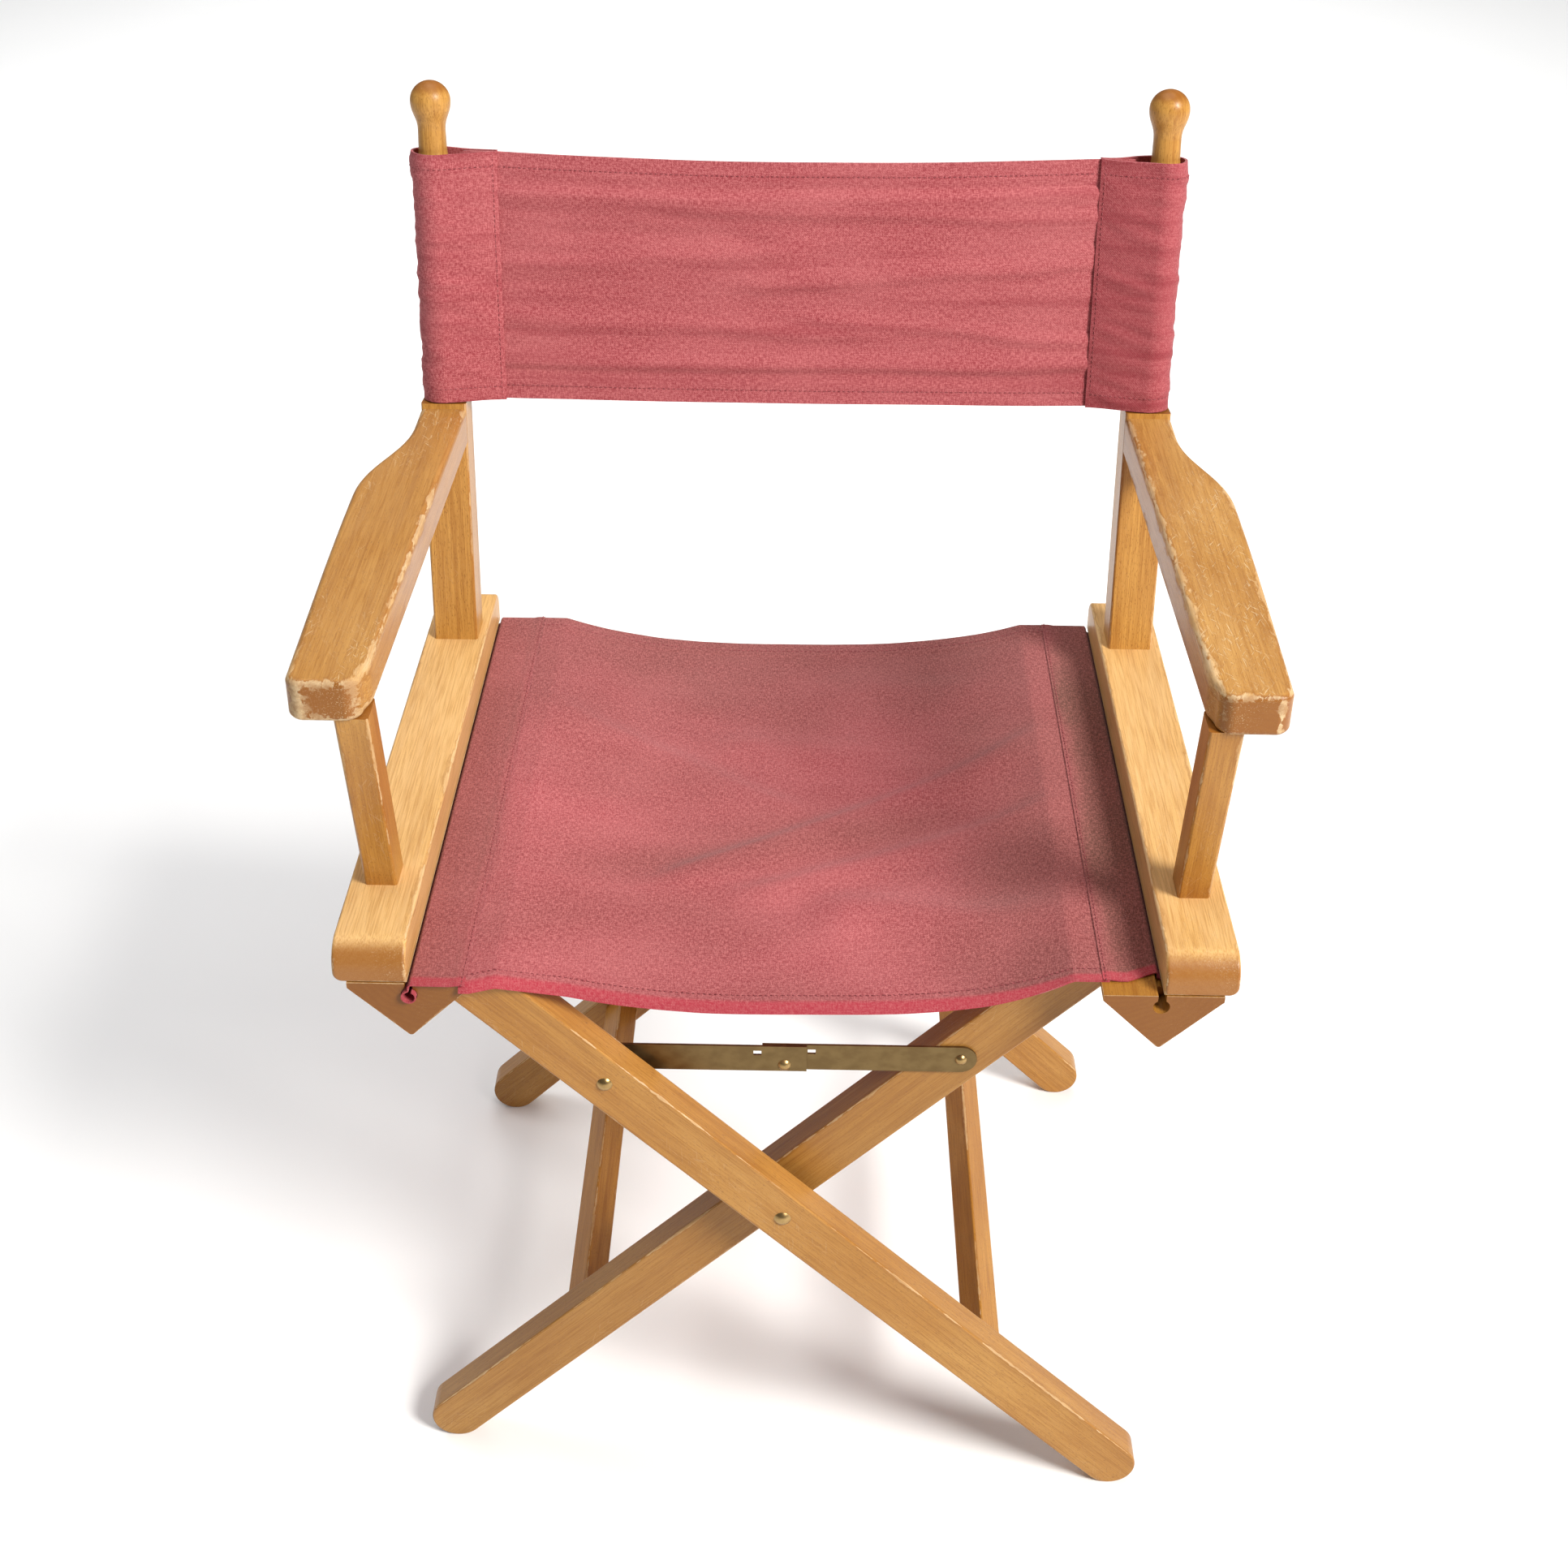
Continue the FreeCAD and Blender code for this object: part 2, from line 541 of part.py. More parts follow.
def arm_rear_y(z):
    """Front face of the back post at a height."""
    return BACK_POST_Y - BACK_POST_D / 2 / math.cos(RAKE) + (z - SEAT_BOARD_TOP) * math.tan(RAKE)


def curve(points):
    """Bezier edge through its first and last (x, y) point."""
    bezier = Part.BezierCurve()
    bezier.setPoles([Vector(x, y, ARM_BOTTOM) for x, y in points])
    return bezier.toShape()


def arm_outline():
    """Plan of the armrest: flush with the front post inside, an S-curve outside."""
    inner = BACK_POST_IN
    front = FRONT_Y + ARM_FROM_FRONT
    front_in = inner + ARM_SPLAY
    flush = FRONT_POST_IN - (ARM_BOTTOM - SEAT_BOARD_TOP) * math.tan(math.radians(FRONT_SPLAY))
    rear = arm_rear_y(ARM_TOP) + 1
    narrow, wide, nose = inner + ARM_REAR_W, inner + ARM_MAX_W, front_in + ARM_FRONT_W
    r, bulge = ARM_CORNER_R, 0.45 * ARM_CORNER_R
    s_start, s_end = rear - 0.06 * CHAIR_DEPTH, rear - 0.3 * CHAIR_DEPTH
    third = (s_start - s_end) / 2.4
    flow = (s_end - front) / 3
    behind = front + 2.6 * r
    lean_in = (flush - inner) / (rear - behind)
    return [
        curve([(inner, rear), (narrow, rear)]),
        curve([(narrow, rear), (narrow, s_start)]),
        curve([(narrow, s_start), (narrow, s_start - third), (wide, s_end + third), (wide, s_end)]),
        curve([(wide, s_end), (wide, s_end - flow), (nose + 2, front + r + flow), (nose, front + r)]),
        curve([(nose, front + r), (nose, front + r - bulge), (nose - r + bulge, front),
               (nose - r, front)]),
        curve([(nose - r, front), (front_in + r, front)]),
        curve([(front_in + r, front), (front_in + r - bulge, front), (front_in, front + r - bulge),
               (front_in, front + r)]),
        curve([(front_in, front + r), (front_in, front + 1.4 * r),
               (flush + 0.6 * r * lean_in, front + 2 * r), (flush, behind)]),
        curve([(flush, behind), (inner, rear)]),
    ]


def armrest(side):
    arm = Part.Face(Part.Wire(arm_outline())).extrude(Vector(0, 0, ARM_T))
    rear = arm_rear_y(ARM_TOP)
    for level, radius in ((ARM_TOP, ARM_EDGE_R), (ARM_BOTTOM, ARM_LOW_R)):
        arm = softened(arm, radius, lambda e: abs(e.CenterOfMass.z - level) < 0.1
                       and e.CenterOfMass.y < rear)
    run = 2 * ARM_T
    lean = math.tan(RAKE)
    y0 = arm_rear_y(ARM_BOTTOM)
    wedge = Part.makePolygon([Vector(0, y0 - run * lean, ARM_BOTTOM - run),
                              Vector(0, y0 + 2 * run * lean, ARM_BOTTOM + 2 * run),
                              Vector(0, y0 + CHAIR_DEPTH, ARM_BOTTOM + 2 * run),
                              Vector(0, y0 + CHAIR_DEPTH, ARM_BOTTOM - run),
                              Vector(0, y0 - run * lean, ARM_BOTTOM - run)])
    arm = arm.cut(Part.Face(wedge).extrude(Vector(2 * HALF_WIDTH, 0, 0)))
    arm = arm.cut(front_tenon()).cut(arm_screw())
    return mirrored(arm, side)


def arm_screw():
    """Countersunk screw from behind, through the back post into the end of the armrest."""
    z = (ARM_BOTTOM + ARM_TOP) / 2
    rear = arm_rear_y(z) + BACK_POST_D / math.cos(RAKE)
    base = Vector(BACK_POST_X, rear, z)
    ahead = Vector(0, -1, 0)
    head = Part.makeCone(ARM_SCREW_HEAD_R, ARM_SCREW_R, ARM_SCREW_HEAD_R, base, ahead)
    return head.fuse(Part.makeCylinder(ARM_SCREW_R, ARM_SCREW_L, base, ahead))


# ---- canvas --------------------------------------------------------------------------------
def sleeve(radius, tip_x):
    """Teardrop prism round a back post: a circle with two tangents that meet at tip_x."""
    reach = BACK_POST_X - tip_x
    lean = math.acos(radius / reach)
    dx, dy = radius * math.cos(lean), radius * math.sin(lean)
    z0, z1 = up_post(BACK_CANVAS_BOTTOM), up_post(BACK_CANVAS_TOP)
    tip = Vector(-reach, 0, z0)
    a, b = Vector(-dx, -dy, z0), Vector(-dx, dy, z0)
    edges = [Part.LineSegment(tip, a).toShape(), Part.Arc(a, Vector(radius, 0, z0), b).toShape(),
             Part.LineSegment(b, tip).toShape()]
    return Part.Face(Part.Wire(edges)).extrude(Vector(0, 0, z1 - z0))


def back_canvas():
    """Panel with a sleeve at each end, round the posts but clear of them."""
    inner_r = POST_ROUND_R + CANVAS_CLEARANCE
    outer_r = inner_r + CANVAS_T
    slope = outer_r / (BACK_POST_X - SEAM_X)
    outer = placed_on_post(sleeve(outer_r, SEAM_X))
    inner = placed_on_post(sleeve(inner_r, SEAM_X + CANVAS_T / slope))
    z0, z1 = up_post(BACK_CANVAS_BOTTOM), up_post(BACK_CANVAS_TOP)
    half = CANVAS_T / 2
    lap = 2 * CANVAS_T
    panel = box(-BACK_POST_X - SEAM_X - lap, SEAM_X - BACK_POST_X + lap, -half, half, z0, z1)
    cloth = outer.fuse(mirrored(outer, LEFT)).fuse(placed_on_post(panel))
    return cloth.cut(inner).cut(mirrored(inner, LEFT))


def seat_canvas():
    """Sagging panel on the rails, with a loop in each keyhole round its dowel."""
    y0, y1 = FRONT_Y + SEAT_FRONT_INSET, REAR_Y - SEAT_REAR_INSET
    low = RAIL_TOP + CANVAS_CLEARANCE
    top = low + CANVAS_T
    edge = KEY_X + CANVAS_T / 2
    ledge = (RAIL_TOP - PIVOT_Z - LEG_W / 2 / math.cos(THETA)) / math.tan(THETA) - 1
    upper = [Vector(-ledge, y0, top), Vector(0, y0, top - SEAT_SAG), Vector(ledge, y0, top)]
    lower = [Vector(ledge, y0, low), Vector(0, y0, low - SEAT_SAG), Vector(-ledge, y0, low)]
    edges = [Part.LineSegment(Vector(-edge, y0, top), upper[0]).toShape(),
             Part.Arc(*upper).toShape(),
             Part.LineSegment(upper[2], Vector(edge, y0, top)).toShape(),
             Part.LineSegment(Vector(edge, y0, top), Vector(edge, y0, low)).toShape(),
             Part.LineSegment(Vector(edge, y0, low), lower[0]).toShape(),
             Part.Arc(*lower).toShape(),
             Part.LineSegment(lower[2], Vector(-edge, y0, low)).toShape(),
             Part.LineSegment(Vector(-edge, y0, low), Vector(-edge, y0, top)).toShape()]
    cloth = Part.Face(Part.Wire(edges)).extrude(Vector(0, y1 - y0, 0))
    loop_r = KEY_R - CANVAS_CLEARANCE
    for side in (LEFT, RIGHT):
        neck = box(side * KEY_X - CANVAS_T / 2, side * KEY_X + CANVAS_T / 2, y0, y1, KEY_Z, top)
        cloth = cloth.fuse(neck).fuse(y_rod(loop_r, side * KEY_X, KEY_Z, y0, y1))
    for side in (LEFT, RIGHT):
        cloth = cloth.cut(y_rod(DOWEL_R + CANVAS_CLEARANCE, side * KEY_X, KEY_Z, y0, y1))
    return cloth


def seat_dowel(side):
    y0 = FRONT_Y + SEAT_FRONT_INSET + DOWEL_END
    y1 = REAR_Y - SEAT_REAR_INSET - DOWEL_END
    return y_rod(DOWEL_R, side * KEY_X, KEY_Z, y0, y1)


# ---- the whole chair -----------------------------------------------------------------------
def side_frame(side, name):
    return {
        f"seat_board_{name}": seat_board(side),
        f"front_post_{name}": front_post(side),
        f"back_post_{name}": back_post(side),
        f"armrest_{name}": armrest(side),
        f"armrest_screw_{name}": mirrored(arm_screw(), side),
        f"hinge_upper_leaves_{name}": hinge_leaves(
            side, 0, BOARD_BOTTOM - HINGE_LEAF_T, HINGE_PIN_R,
            hinge_screws(BOARD_BOTTOM - HINGE_LEAF_T, 1)),
        f"hinge_pins_{name}": hinge_pins(side),
        f"hinge_upper_screws_{name}": mirrored(hinge_screws(BOARD_BOTTOM - HINGE_LEAF_T, 1), side),
    }


def leg_frame(side, rail_name, frame_name, front_y, rear_y, bolt_hole_r, stay_hole_r):
    """Two legs that rise to one side, with their rail and stretcher."""
    front = leg(side, front_y, front_y + LEG_T, bolt_hole_r, stay_hole_r)
    rear = leg(side, rear_y, rear_y, bolt_hole_r, 0)
    floor = lower_leaf_top() - HINGE_LEAF_T
    return {
        f"{frame_name}_leg_front": front,
        f"{frame_name}_leg_rear": rear,
        f"{frame_name}_stretcher": stretcher(side, front_y + LEG_T, rear_y),
        f"seat_rail_{rail_name}": v_rail(side, [front, rear]),
        f"hinge_lower_leaves_{rail_name}": hinge_leaves(
            side, 1, floor, HINGE_PIN_R + RUN_CLEARANCE, hinge_screws(lower_leaf_top(), -1)),
        f"hinge_lower_screws_{rail_name}": mirrored(hinge_screws(lower_leaf_top(), -1), side),
        f"seat_dowel_{rail_name}": seat_dowel(side),
    }


def chair():
    nodes = {}
    nodes.update(side_frame(LEFT, "left"))
    nodes.update(side_frame(RIGHT, "right"))
    nodes.update(leg_frame(LEFT, "left", "outer", OUTER_FRONT, OUTER_REAR, BOLT_R, STAY_RIVET_R))
    nodes.update(leg_frame(RIGHT, "right", "inner", INNER_FRONT, INNER_REAR,
                           BOLT_R + RUN_CLEARANCE, STAY_RIVET_R))
    nodes["pivot_bolts"] = pivot_bolts()
    nodes["pivot_washers"] = pivot_washers()
    nodes["pivot_nuts"] = pivot_nuts()
    nodes["stay_strap_left"] = stay_strap(LEFT, STRAP_LEFT_Y)
    nodes["stay_strap_right"] = stay_strap(RIGHT, STRAP_RIGHT_Y)
    nodes["stay_rivet_left"] = stay_rivet_left()
    nodes["stay_rivet_right"] = stay_rivet_right()
    nodes["stay_middle_rivet_front"] = middle_rivet_front()
    nodes["stay_middle_rivet_rear"] = middle_rivet_rear()
    nodes["back_canvas"] = back_canvas()
    nodes["seat_canvas"] = seat_canvas()
    return nodes


def export(nodes):
    """Centres the chair on its box and writes one file per node."""
    os.makedirs("parts", exist_ok=True)
    whole = Part.makeCompound(list(nodes.values())).optimalBoundingBox(False)
    shift = Vector(-(whole.XMin + whole.XMax) / 2, -(whole.YMin + whole.YMax) / 2, 0)
    for name, shape in nodes.items():
        shape = shape.copy()
        shape.translate(shift)
        shape.exportStep(f"parts/{name}.step")
    print(f"{len(nodes)} nodes, moved by {shift.x:.3f}, {shift.y:.3f}")
    print(f"leg angle {math.degrees(THETA):.4f}")
    print(f"hinge X {HINGE_X:.4f} Z {HINGE_Z:.4f}, pivot Z {PIVOT_Z:.4f}")
    print(f"stay X {STAY_X:.4f} Z {STAY_Z:.4f} middle Z {STAY_Z - STAY_DROP:.4f}")


export(chair())
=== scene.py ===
import bpy
import json
import math
from mathutils import Matrix, Vector, noise


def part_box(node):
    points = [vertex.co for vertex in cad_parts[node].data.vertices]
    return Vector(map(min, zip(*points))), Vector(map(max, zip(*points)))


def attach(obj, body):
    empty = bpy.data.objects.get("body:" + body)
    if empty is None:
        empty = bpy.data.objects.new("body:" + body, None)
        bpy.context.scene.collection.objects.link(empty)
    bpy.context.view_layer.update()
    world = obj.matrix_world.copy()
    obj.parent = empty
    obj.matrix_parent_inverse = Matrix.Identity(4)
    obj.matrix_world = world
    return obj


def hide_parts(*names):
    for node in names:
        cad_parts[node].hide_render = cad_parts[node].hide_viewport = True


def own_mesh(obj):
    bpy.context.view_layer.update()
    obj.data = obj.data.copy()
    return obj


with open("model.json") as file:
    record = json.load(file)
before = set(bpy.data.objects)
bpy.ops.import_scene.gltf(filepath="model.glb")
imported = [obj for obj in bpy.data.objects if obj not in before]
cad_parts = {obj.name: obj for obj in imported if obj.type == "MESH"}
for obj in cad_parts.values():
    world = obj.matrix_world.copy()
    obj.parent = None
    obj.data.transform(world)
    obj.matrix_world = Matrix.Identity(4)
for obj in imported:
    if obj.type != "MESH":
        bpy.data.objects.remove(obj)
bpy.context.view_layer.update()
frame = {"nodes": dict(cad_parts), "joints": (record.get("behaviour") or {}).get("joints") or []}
nodes = frame["nodes"]
MM = 0.001
X, Y = Vector((1, 0, 0)), Vector((0, 1, 0))


def corner(node, end, axis):
    """One coordinate of a CAD node's box: end 0 is its lowest corner, 1 its highest."""
    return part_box(node)[end][axis]


def centre_of(node):
    """Middle of a CAD node's box."""
    low, high = (Vector(c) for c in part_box(node))
    return (low + high) / 2


def joint_place(name):
    return Vector(next(j["pos_m"] for j in frame["joints"] if j["name"] == name))


# ---- places read from the frame ------------------------------------------------------------
FRONT = corner("seat_board_right", 0, 1)
REAR = corner("seat_board_right", 1, 1)
BOARD_TOP = corner("seat_board_right", 1, 2)
RAIL_IN = corner("seat_rail_right", 0, 0)
RAIL_OUT = corner("seat_rail_right", 1, 0)
RAIL_TOP = corner("seat_rail_right", 1, 2)
ARM_TOP = corner("armrest_right", 1, 2)
ARM_LOW = corner("armrest_right", 0, 2)
ARM_FRONT = corner("armrest_right", 0, 1)
ARM_IN = corner("armrest_right", 0, 0)
DOWEL = [sum(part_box("seat_dowel_right")[e][a] for e in (0, 1)) / 2 for a in (0, 2)]
PIVOT = joint_place("cross_pivot")

# ---- sizes and angles of the chair, as its frame is built ----------------------------------
LEG_TOP = RAIL_IN + 6 * MM          # where a leg's middle line meets the top of its rail
LEG_ANGLE = math.atan2(RAIL_TOP - PIVOT.z, LEG_TOP)
RAKE = math.radians(7)              # back posts, to the rear
LEAN = math.radians(15.6)           # front posts, to the front
SPLAY = math.radians(1.1)           # front posts, inwards
POST_X = 246.25 * MM                # middle line of a back post
POST_FOOT_Y = FRONT + 369.36 * MM
POST_R = 12.5 * MM                  # round part of a back post, in the canvas sleeve
RAIL_DEPTH = 40.4 * MM
RAIL_FLANK_END = 36 * MM            # from the middle of a rail to its blunt upper edges

# Half sizes along the grain, across it and the third way. A piece whose ends are tenons, or are
# rounded, is given as longer than it is, so that only its long edges are worn.
LONG = 1
BACK_POST_HALF = (0.6, 15.75 * MM, 14.25 * MM)
FRONT_POST_HALF = (0.3, 10 * MM, 11 * MM)
LEG_HALF = (LONG, 17.75 * MM, 10.5 * MM)
STRETCHER_HALF = (LONG, 9.5 * MM, 9.5 * MM)
STRAP_HALF = (LONG, 0.75 * MM, 10 * MM)
NO_EDGES = (LONG, LONG, LONG)       # for a round piece, or one with an edge function of its own


# ---- helpers for materials -----------------------------------------------------------------
class Finish:
    """A material under construction. Its methods add nodes and return the socket to use next."""

    def __init__(self, name):
        self.material = bpy.data.materials.new(name)
        self.material.use_nodes = True
        self.tree = self.material.node_tree
        self.shader = self.tree.nodes["Principled BSDF"]

    def add(self, kind, inputs=None, **settings):
        made = self.tree.nodes.new(kind)
        for key, value in settings.items():
            setattr(made, key, value)
        for key, value in (inputs or {}).items():
            self.plug(made.inputs[key], value)
        return made

    def plug(self, socket, value):
        if isinstance(value, bpy.types.NodeSocket):
            self.tree.links.new(value, socket)
        else:
            socket.default_value = value

    def calc(self, operation, *values):
        return self.add("ShaderNodeMath", dict(enumerate(values)), operation=operation).outputs[0]

    def fade(self, value, start, end, low=0.0, high=1.0):
        """low up to start, high past end, and a smooth ramp between them."""
        return self.add("ShaderNodeMapRange", {0: value, 1: start, 2: end, 3: low, 4: high},
                        interpolation_type="SMOOTHSTEP").outputs[0]

    def mix(self, amount, first, second, blend="MIX"):
        made = self.add("ShaderNodeMix", data_type="RGBA", blend_type=blend)
        for key, value in ((0, amount), (6, first), (7, second)):
            self.plug(made.inputs[key], value)
        return made.outputs[2]

    def split(self, vector):
        return self.add("ShaderNodeSeparateXYZ", {0: vector}).outputs

    def stretch(self, vector, scale, shift=(0, 0, 0)):
        return self.add("ShaderNodeMapping", {0: vector, 1: shift, 3: scale}).outputs[0]

    def mottle(self, vector, scale, seed=0.0, detail=2.0, roughness=0.5):
        """Noise from 0 to 1, stretched by a scale for each axis."""
        return self.add("ShaderNodeTexNoise",
                        {"Vector": self.stretch(vector, scale), "W": seed, "Scale": 1.0,
                         "Detail": detail, "Roughness": roughness},
                        noise_dimensions="4D").outputs[0]

    def relief(self, height, distance, strength=1.0, normal=None):
        bump = self.add("ShaderNodeBump", {"Height": height, "Distance": distance,
                                           "Strength": strength})
        if normal:
            self.plug(bump.inputs["Normal"], normal)
        return bump.outputs[0]

    def done(self, colour, roughness, normal=None):
        self.plug(self.shader.inputs["Base Color"], colour)
        self.plug(self.shader.inputs["Roughness"], roughness)
        if normal:
            self.plug(self.shader.inputs["Normal"], normal)
        return self.material


# ---- wood ----------------------------------------------------------------------------------
HONEY = (0.46, 0.208, 0.034, 1)
HONEY_DARK = (0.27, 0.092, 0.012, 1)
HONEY_PALE = (0.66, 0.37, 0.10, 1)
BARE = (0.72, 0.53, 0.30, 1)
GREYED = (0.44, 0.34, 0.22, 1)
RUBBED = (0.80, 0.53, 0.25, 1)
FLECK = (0.22, 0.080, 0.015, 1)

# How fine each kind of mottling is along the grain, across it and the third way, in cells a metre.
STREAKS = (4, 150, 150)
FIBRES = (40, 1400, 1400)
PATCHES = (8, 22, 22)
FLECKS = (400, 2000, 2000)
DULL_PATCHES = (14, 30, 30)
RAGGED_EDGES = (28, 90, 90)
CHIPPED_EDGES = (150, 420, 420)
RUBBED_STRETCHES = (7, 9, 9)
HANDLED_AREAS = (5, 25, 25)
SCRATCHES = (70, 1100, 1100)
SCRATCH_TURNS = ((0.12, 21), (0.75, 22), (-0.5, 23))    # angle, and step of the seed

NARROW_WEAR, WIDE_WEAR = 0.4 * MM, 3.2 * MM
GRAIN_DEPTH = 0.12 * MM


def grain_frame(f, centre, along, across):
    """Coordinates along a board, across it and through it, and its turned normal."""
    third = along.cross(across)
    rows = Matrix((along, across, third))
    turn = rows.to_euler()
    place = f.add("ShaderNodeTexCoord")
    local = f.add("ShaderNodeMapping", {0: place.outputs["Object"], 1: -(rows @ centre), 2: turn})
    normal = f.add("ShaderNodeMapping", {0: place.outputs["Normal"], 2: turn})
    return local.outputs[0], normal.outputs[0]


def arris_distance(f, local, half):
    """Distance to the nearest edge of a square-cut piece of these half sizes."""
    gaps = [f.calc("SUBTRACT", h, f.calc("ABSOLUTE", c)) for c, h in zip(f.split(local), half)]
    return middle_of(f, gaps)


def middle_of(f, gaps):
    """Middle one of the distances to three faces. It is 0 on an edge, where two faces meet."""
    a, b, c = gaps
    return f.calc("MAXIMUM", f.calc("MINIMUM", a, b),
                  f.calc("MINIMUM", f.calc("MAXIMUM", a, b), c))


def beech(name, centre, along, across, half, wear=1.0, scuffs=0.3, tone=1.0, pale=0.0, dull=0.0,
          seed=0.0, edge=None, pith=(0.05, 0.09)):
    """Honey-coloured varnish on beech, rubbed through along the edges.

    wear widens the bare edges, scuffs is how strong the scratches are, tone is the brightness, and
    pale and dull bleach and rub the varnish. half or edge says where the edges are. pith is where
    the growth rings are centred, across the piece and through it.
    """
    f = Finish(name)
    local, normal = grain_frame(f, centre, along, across)
    end_grain = f.fade(f.calc("ABSOLUTE", f.split(normal)[0]), 0.25, 0.80)
    rings = f.add("ShaderNodeTexWave",
                  {"Vector": f.stretch(local, (0.05, 1, 1), (0, pith[0], pith[1])), "Scale": 80,
                   "Distortion": 9.0, "Detail": 3.0, "Detail Scale": 0.5, "Detail Roughness": 0.6},
                  wave_type="RINGS", rings_direction="X", wave_profile="SIN").outputs[1]
    streaks = f.mottle(local, STREAKS, seed, 4, 0.65)
    fibres = f.mottle(local, FIBRES, seed + 1, 2)
    patches = f.mottle(local, PATCHES, seed + 2, 3)
    flecks = f.fade(f.mottle(local, FLECKS, seed + 3, 1), 0.58, 0.70)

    # Varnish over rings, streaks, patches, fibres and flecks.
    varnish = f.mix(pale, HONEY, HONEY_PALE)
    ring_share = f.calc("MULTIPLY", rings, f.fade(end_grain, 0, 1, 0.13, 0.6))
    varnish = f.mix(ring_share, varnish, HONEY_DARK)
    varnish = f.mix(f.fade(streaks, 0.42, 0.74, 0, 0.7), varnish, HONEY_DARK)
    varnish = f.mix(f.fade(patches, 0.42, 0.72, 0, 0.42), varnish, HONEY_PALE)
    varnish = f.mix(f.fade(fibres, 0.40, 0.70, 0, 0.45), varnish, HONEY_DARK)
    varnish = f.mix(f.calc("MULTIPLY", flecks, 0.6), varnish, FLECK)
    if dull:
        rubbed = f.fade(f.mottle(local, DULL_PATCHES, seed + 9, 3), 0.25, 0.6, 0.5 * dull, dull)
        varnish = f.mix(rubbed, varnish, f.mix(f.fade(fibres, 0.35, 0.7, 0, 0.5), RUBBED, HONEY))
    varnish = f.mix(f.calc("MULTIPLY", end_grain, 0.85), varnish, HONEY_DARK)
    varnish = f.mix(1.0, varnish, (tone, tone * 0.98, tone * 0.94, 1), "MULTIPLY")

    # How far the varnish is worn through, from the distance to the nearest edge.
    reach = edge(f) if edge else arris_distance(f, local, half)
    ragged = f.mottle(local, RAGGED_EDGES, seed + 4, 3, 0.65)
    chips = f.mottle(local, CHIPPED_EDGES, seed + 8, 3, 0.7)
    rub = f.fade(f.mottle(local, RUBBED_STRETCHES, seed + 7, 1), 0.34, 0.62, 0.4, 1.6)
    width = f.calc("MULTIPLY", f.fade(ragged, 0.32, 0.72, NARROW_WEAR, WIDE_WEAR), rub)
    width = f.calc("MULTIPLY", width, wear)
    depth = f.calc("ADD", f.calc("DIVIDE", reach, width),
                   f.calc("MULTIPLY", f.calc("SUBTRACT", chips, 0.5), 1.8))
    worn = f.fade(depth, 0.45, 0.85, 1.0, 0.0)
    handled = f.fade(f.mottle(local, HANDLED_AREAS, seed + 5, 1), 0.44, 0.58, 0, scuffs)
    scratch = f.calc("MULTIPLY", scratches(f, local, seed), handled)
    worn = f.calc("MAXIMUM", worn, scratch)

    # Bare wood is greyed in its fibres, and the varnish beside it is darker.
    bare = f.mix(f.fade(fibres, 0.35, 0.7, 0, 0.5), BARE, GREYED)
    bare = f.mix(f.fade(ragged, 0.36, 0.62, 0.1, 0.7), bare, varnish)
    varnish = f.mix(f.fade(depth, 0.8, 1.5, 0.35, 0.0), varnish, HONEY_DARK)

    colour = f.mix(worn, varnish, bare)
    gloss = f.calc("ADD", f.fade(worn, 0, 1, 0.34, 0.72), f.fade(patches, 0.3, 0.8, -0.04, 0.08))
    height = f.calc("SUBTRACT", f.calc("MULTIPLY", fibres, 0.35), f.calc("MULTIPLY", flecks, 0.35))
    height = f.calc("SUBTRACT", height, worn)
    f.shader.inputs["Specular IOR Level"].default_value = 0.32
    return f.done(colour, gloss, f.relief(height, GRAIN_DEPTH, 0.7))


def scratches(f, local, seed):
    """Short thin scratches in three directions."""
    found = 0.0
    for turn, shift in SCRATCH_TURNS:
        turned = f.add("ShaderNodeMapping", {0: local, 2: (0.1, 0, turn)}).outputs[0]
        marks = f.mottle(turned, SCRATCHES, seed + shift, 1.5, 0.6)
        found = f.calc("MAXIMUM", found, f.fade(marks, 0.638, 0.678, 0.0, 0.9))
    return found


def wear_material(node, material):
    """Gives a CAD node one material in place of those it came with."""
    mesh = nodes[node].data
    mesh.materials.clear()
    mesh.materials.append(material)


def box_beech(node, along, across, half=None, **more):
    """Beech for a piece whose grain runs from front to rear, sized from its own box."""
    low, high = (Vector(c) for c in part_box(node))
    half = half or [(high - low)[i] / 2 for i in (1, 0, 2)]
    wear_material(node, beech(node + " beech", (low + high) / 2, along, across, half, **more))


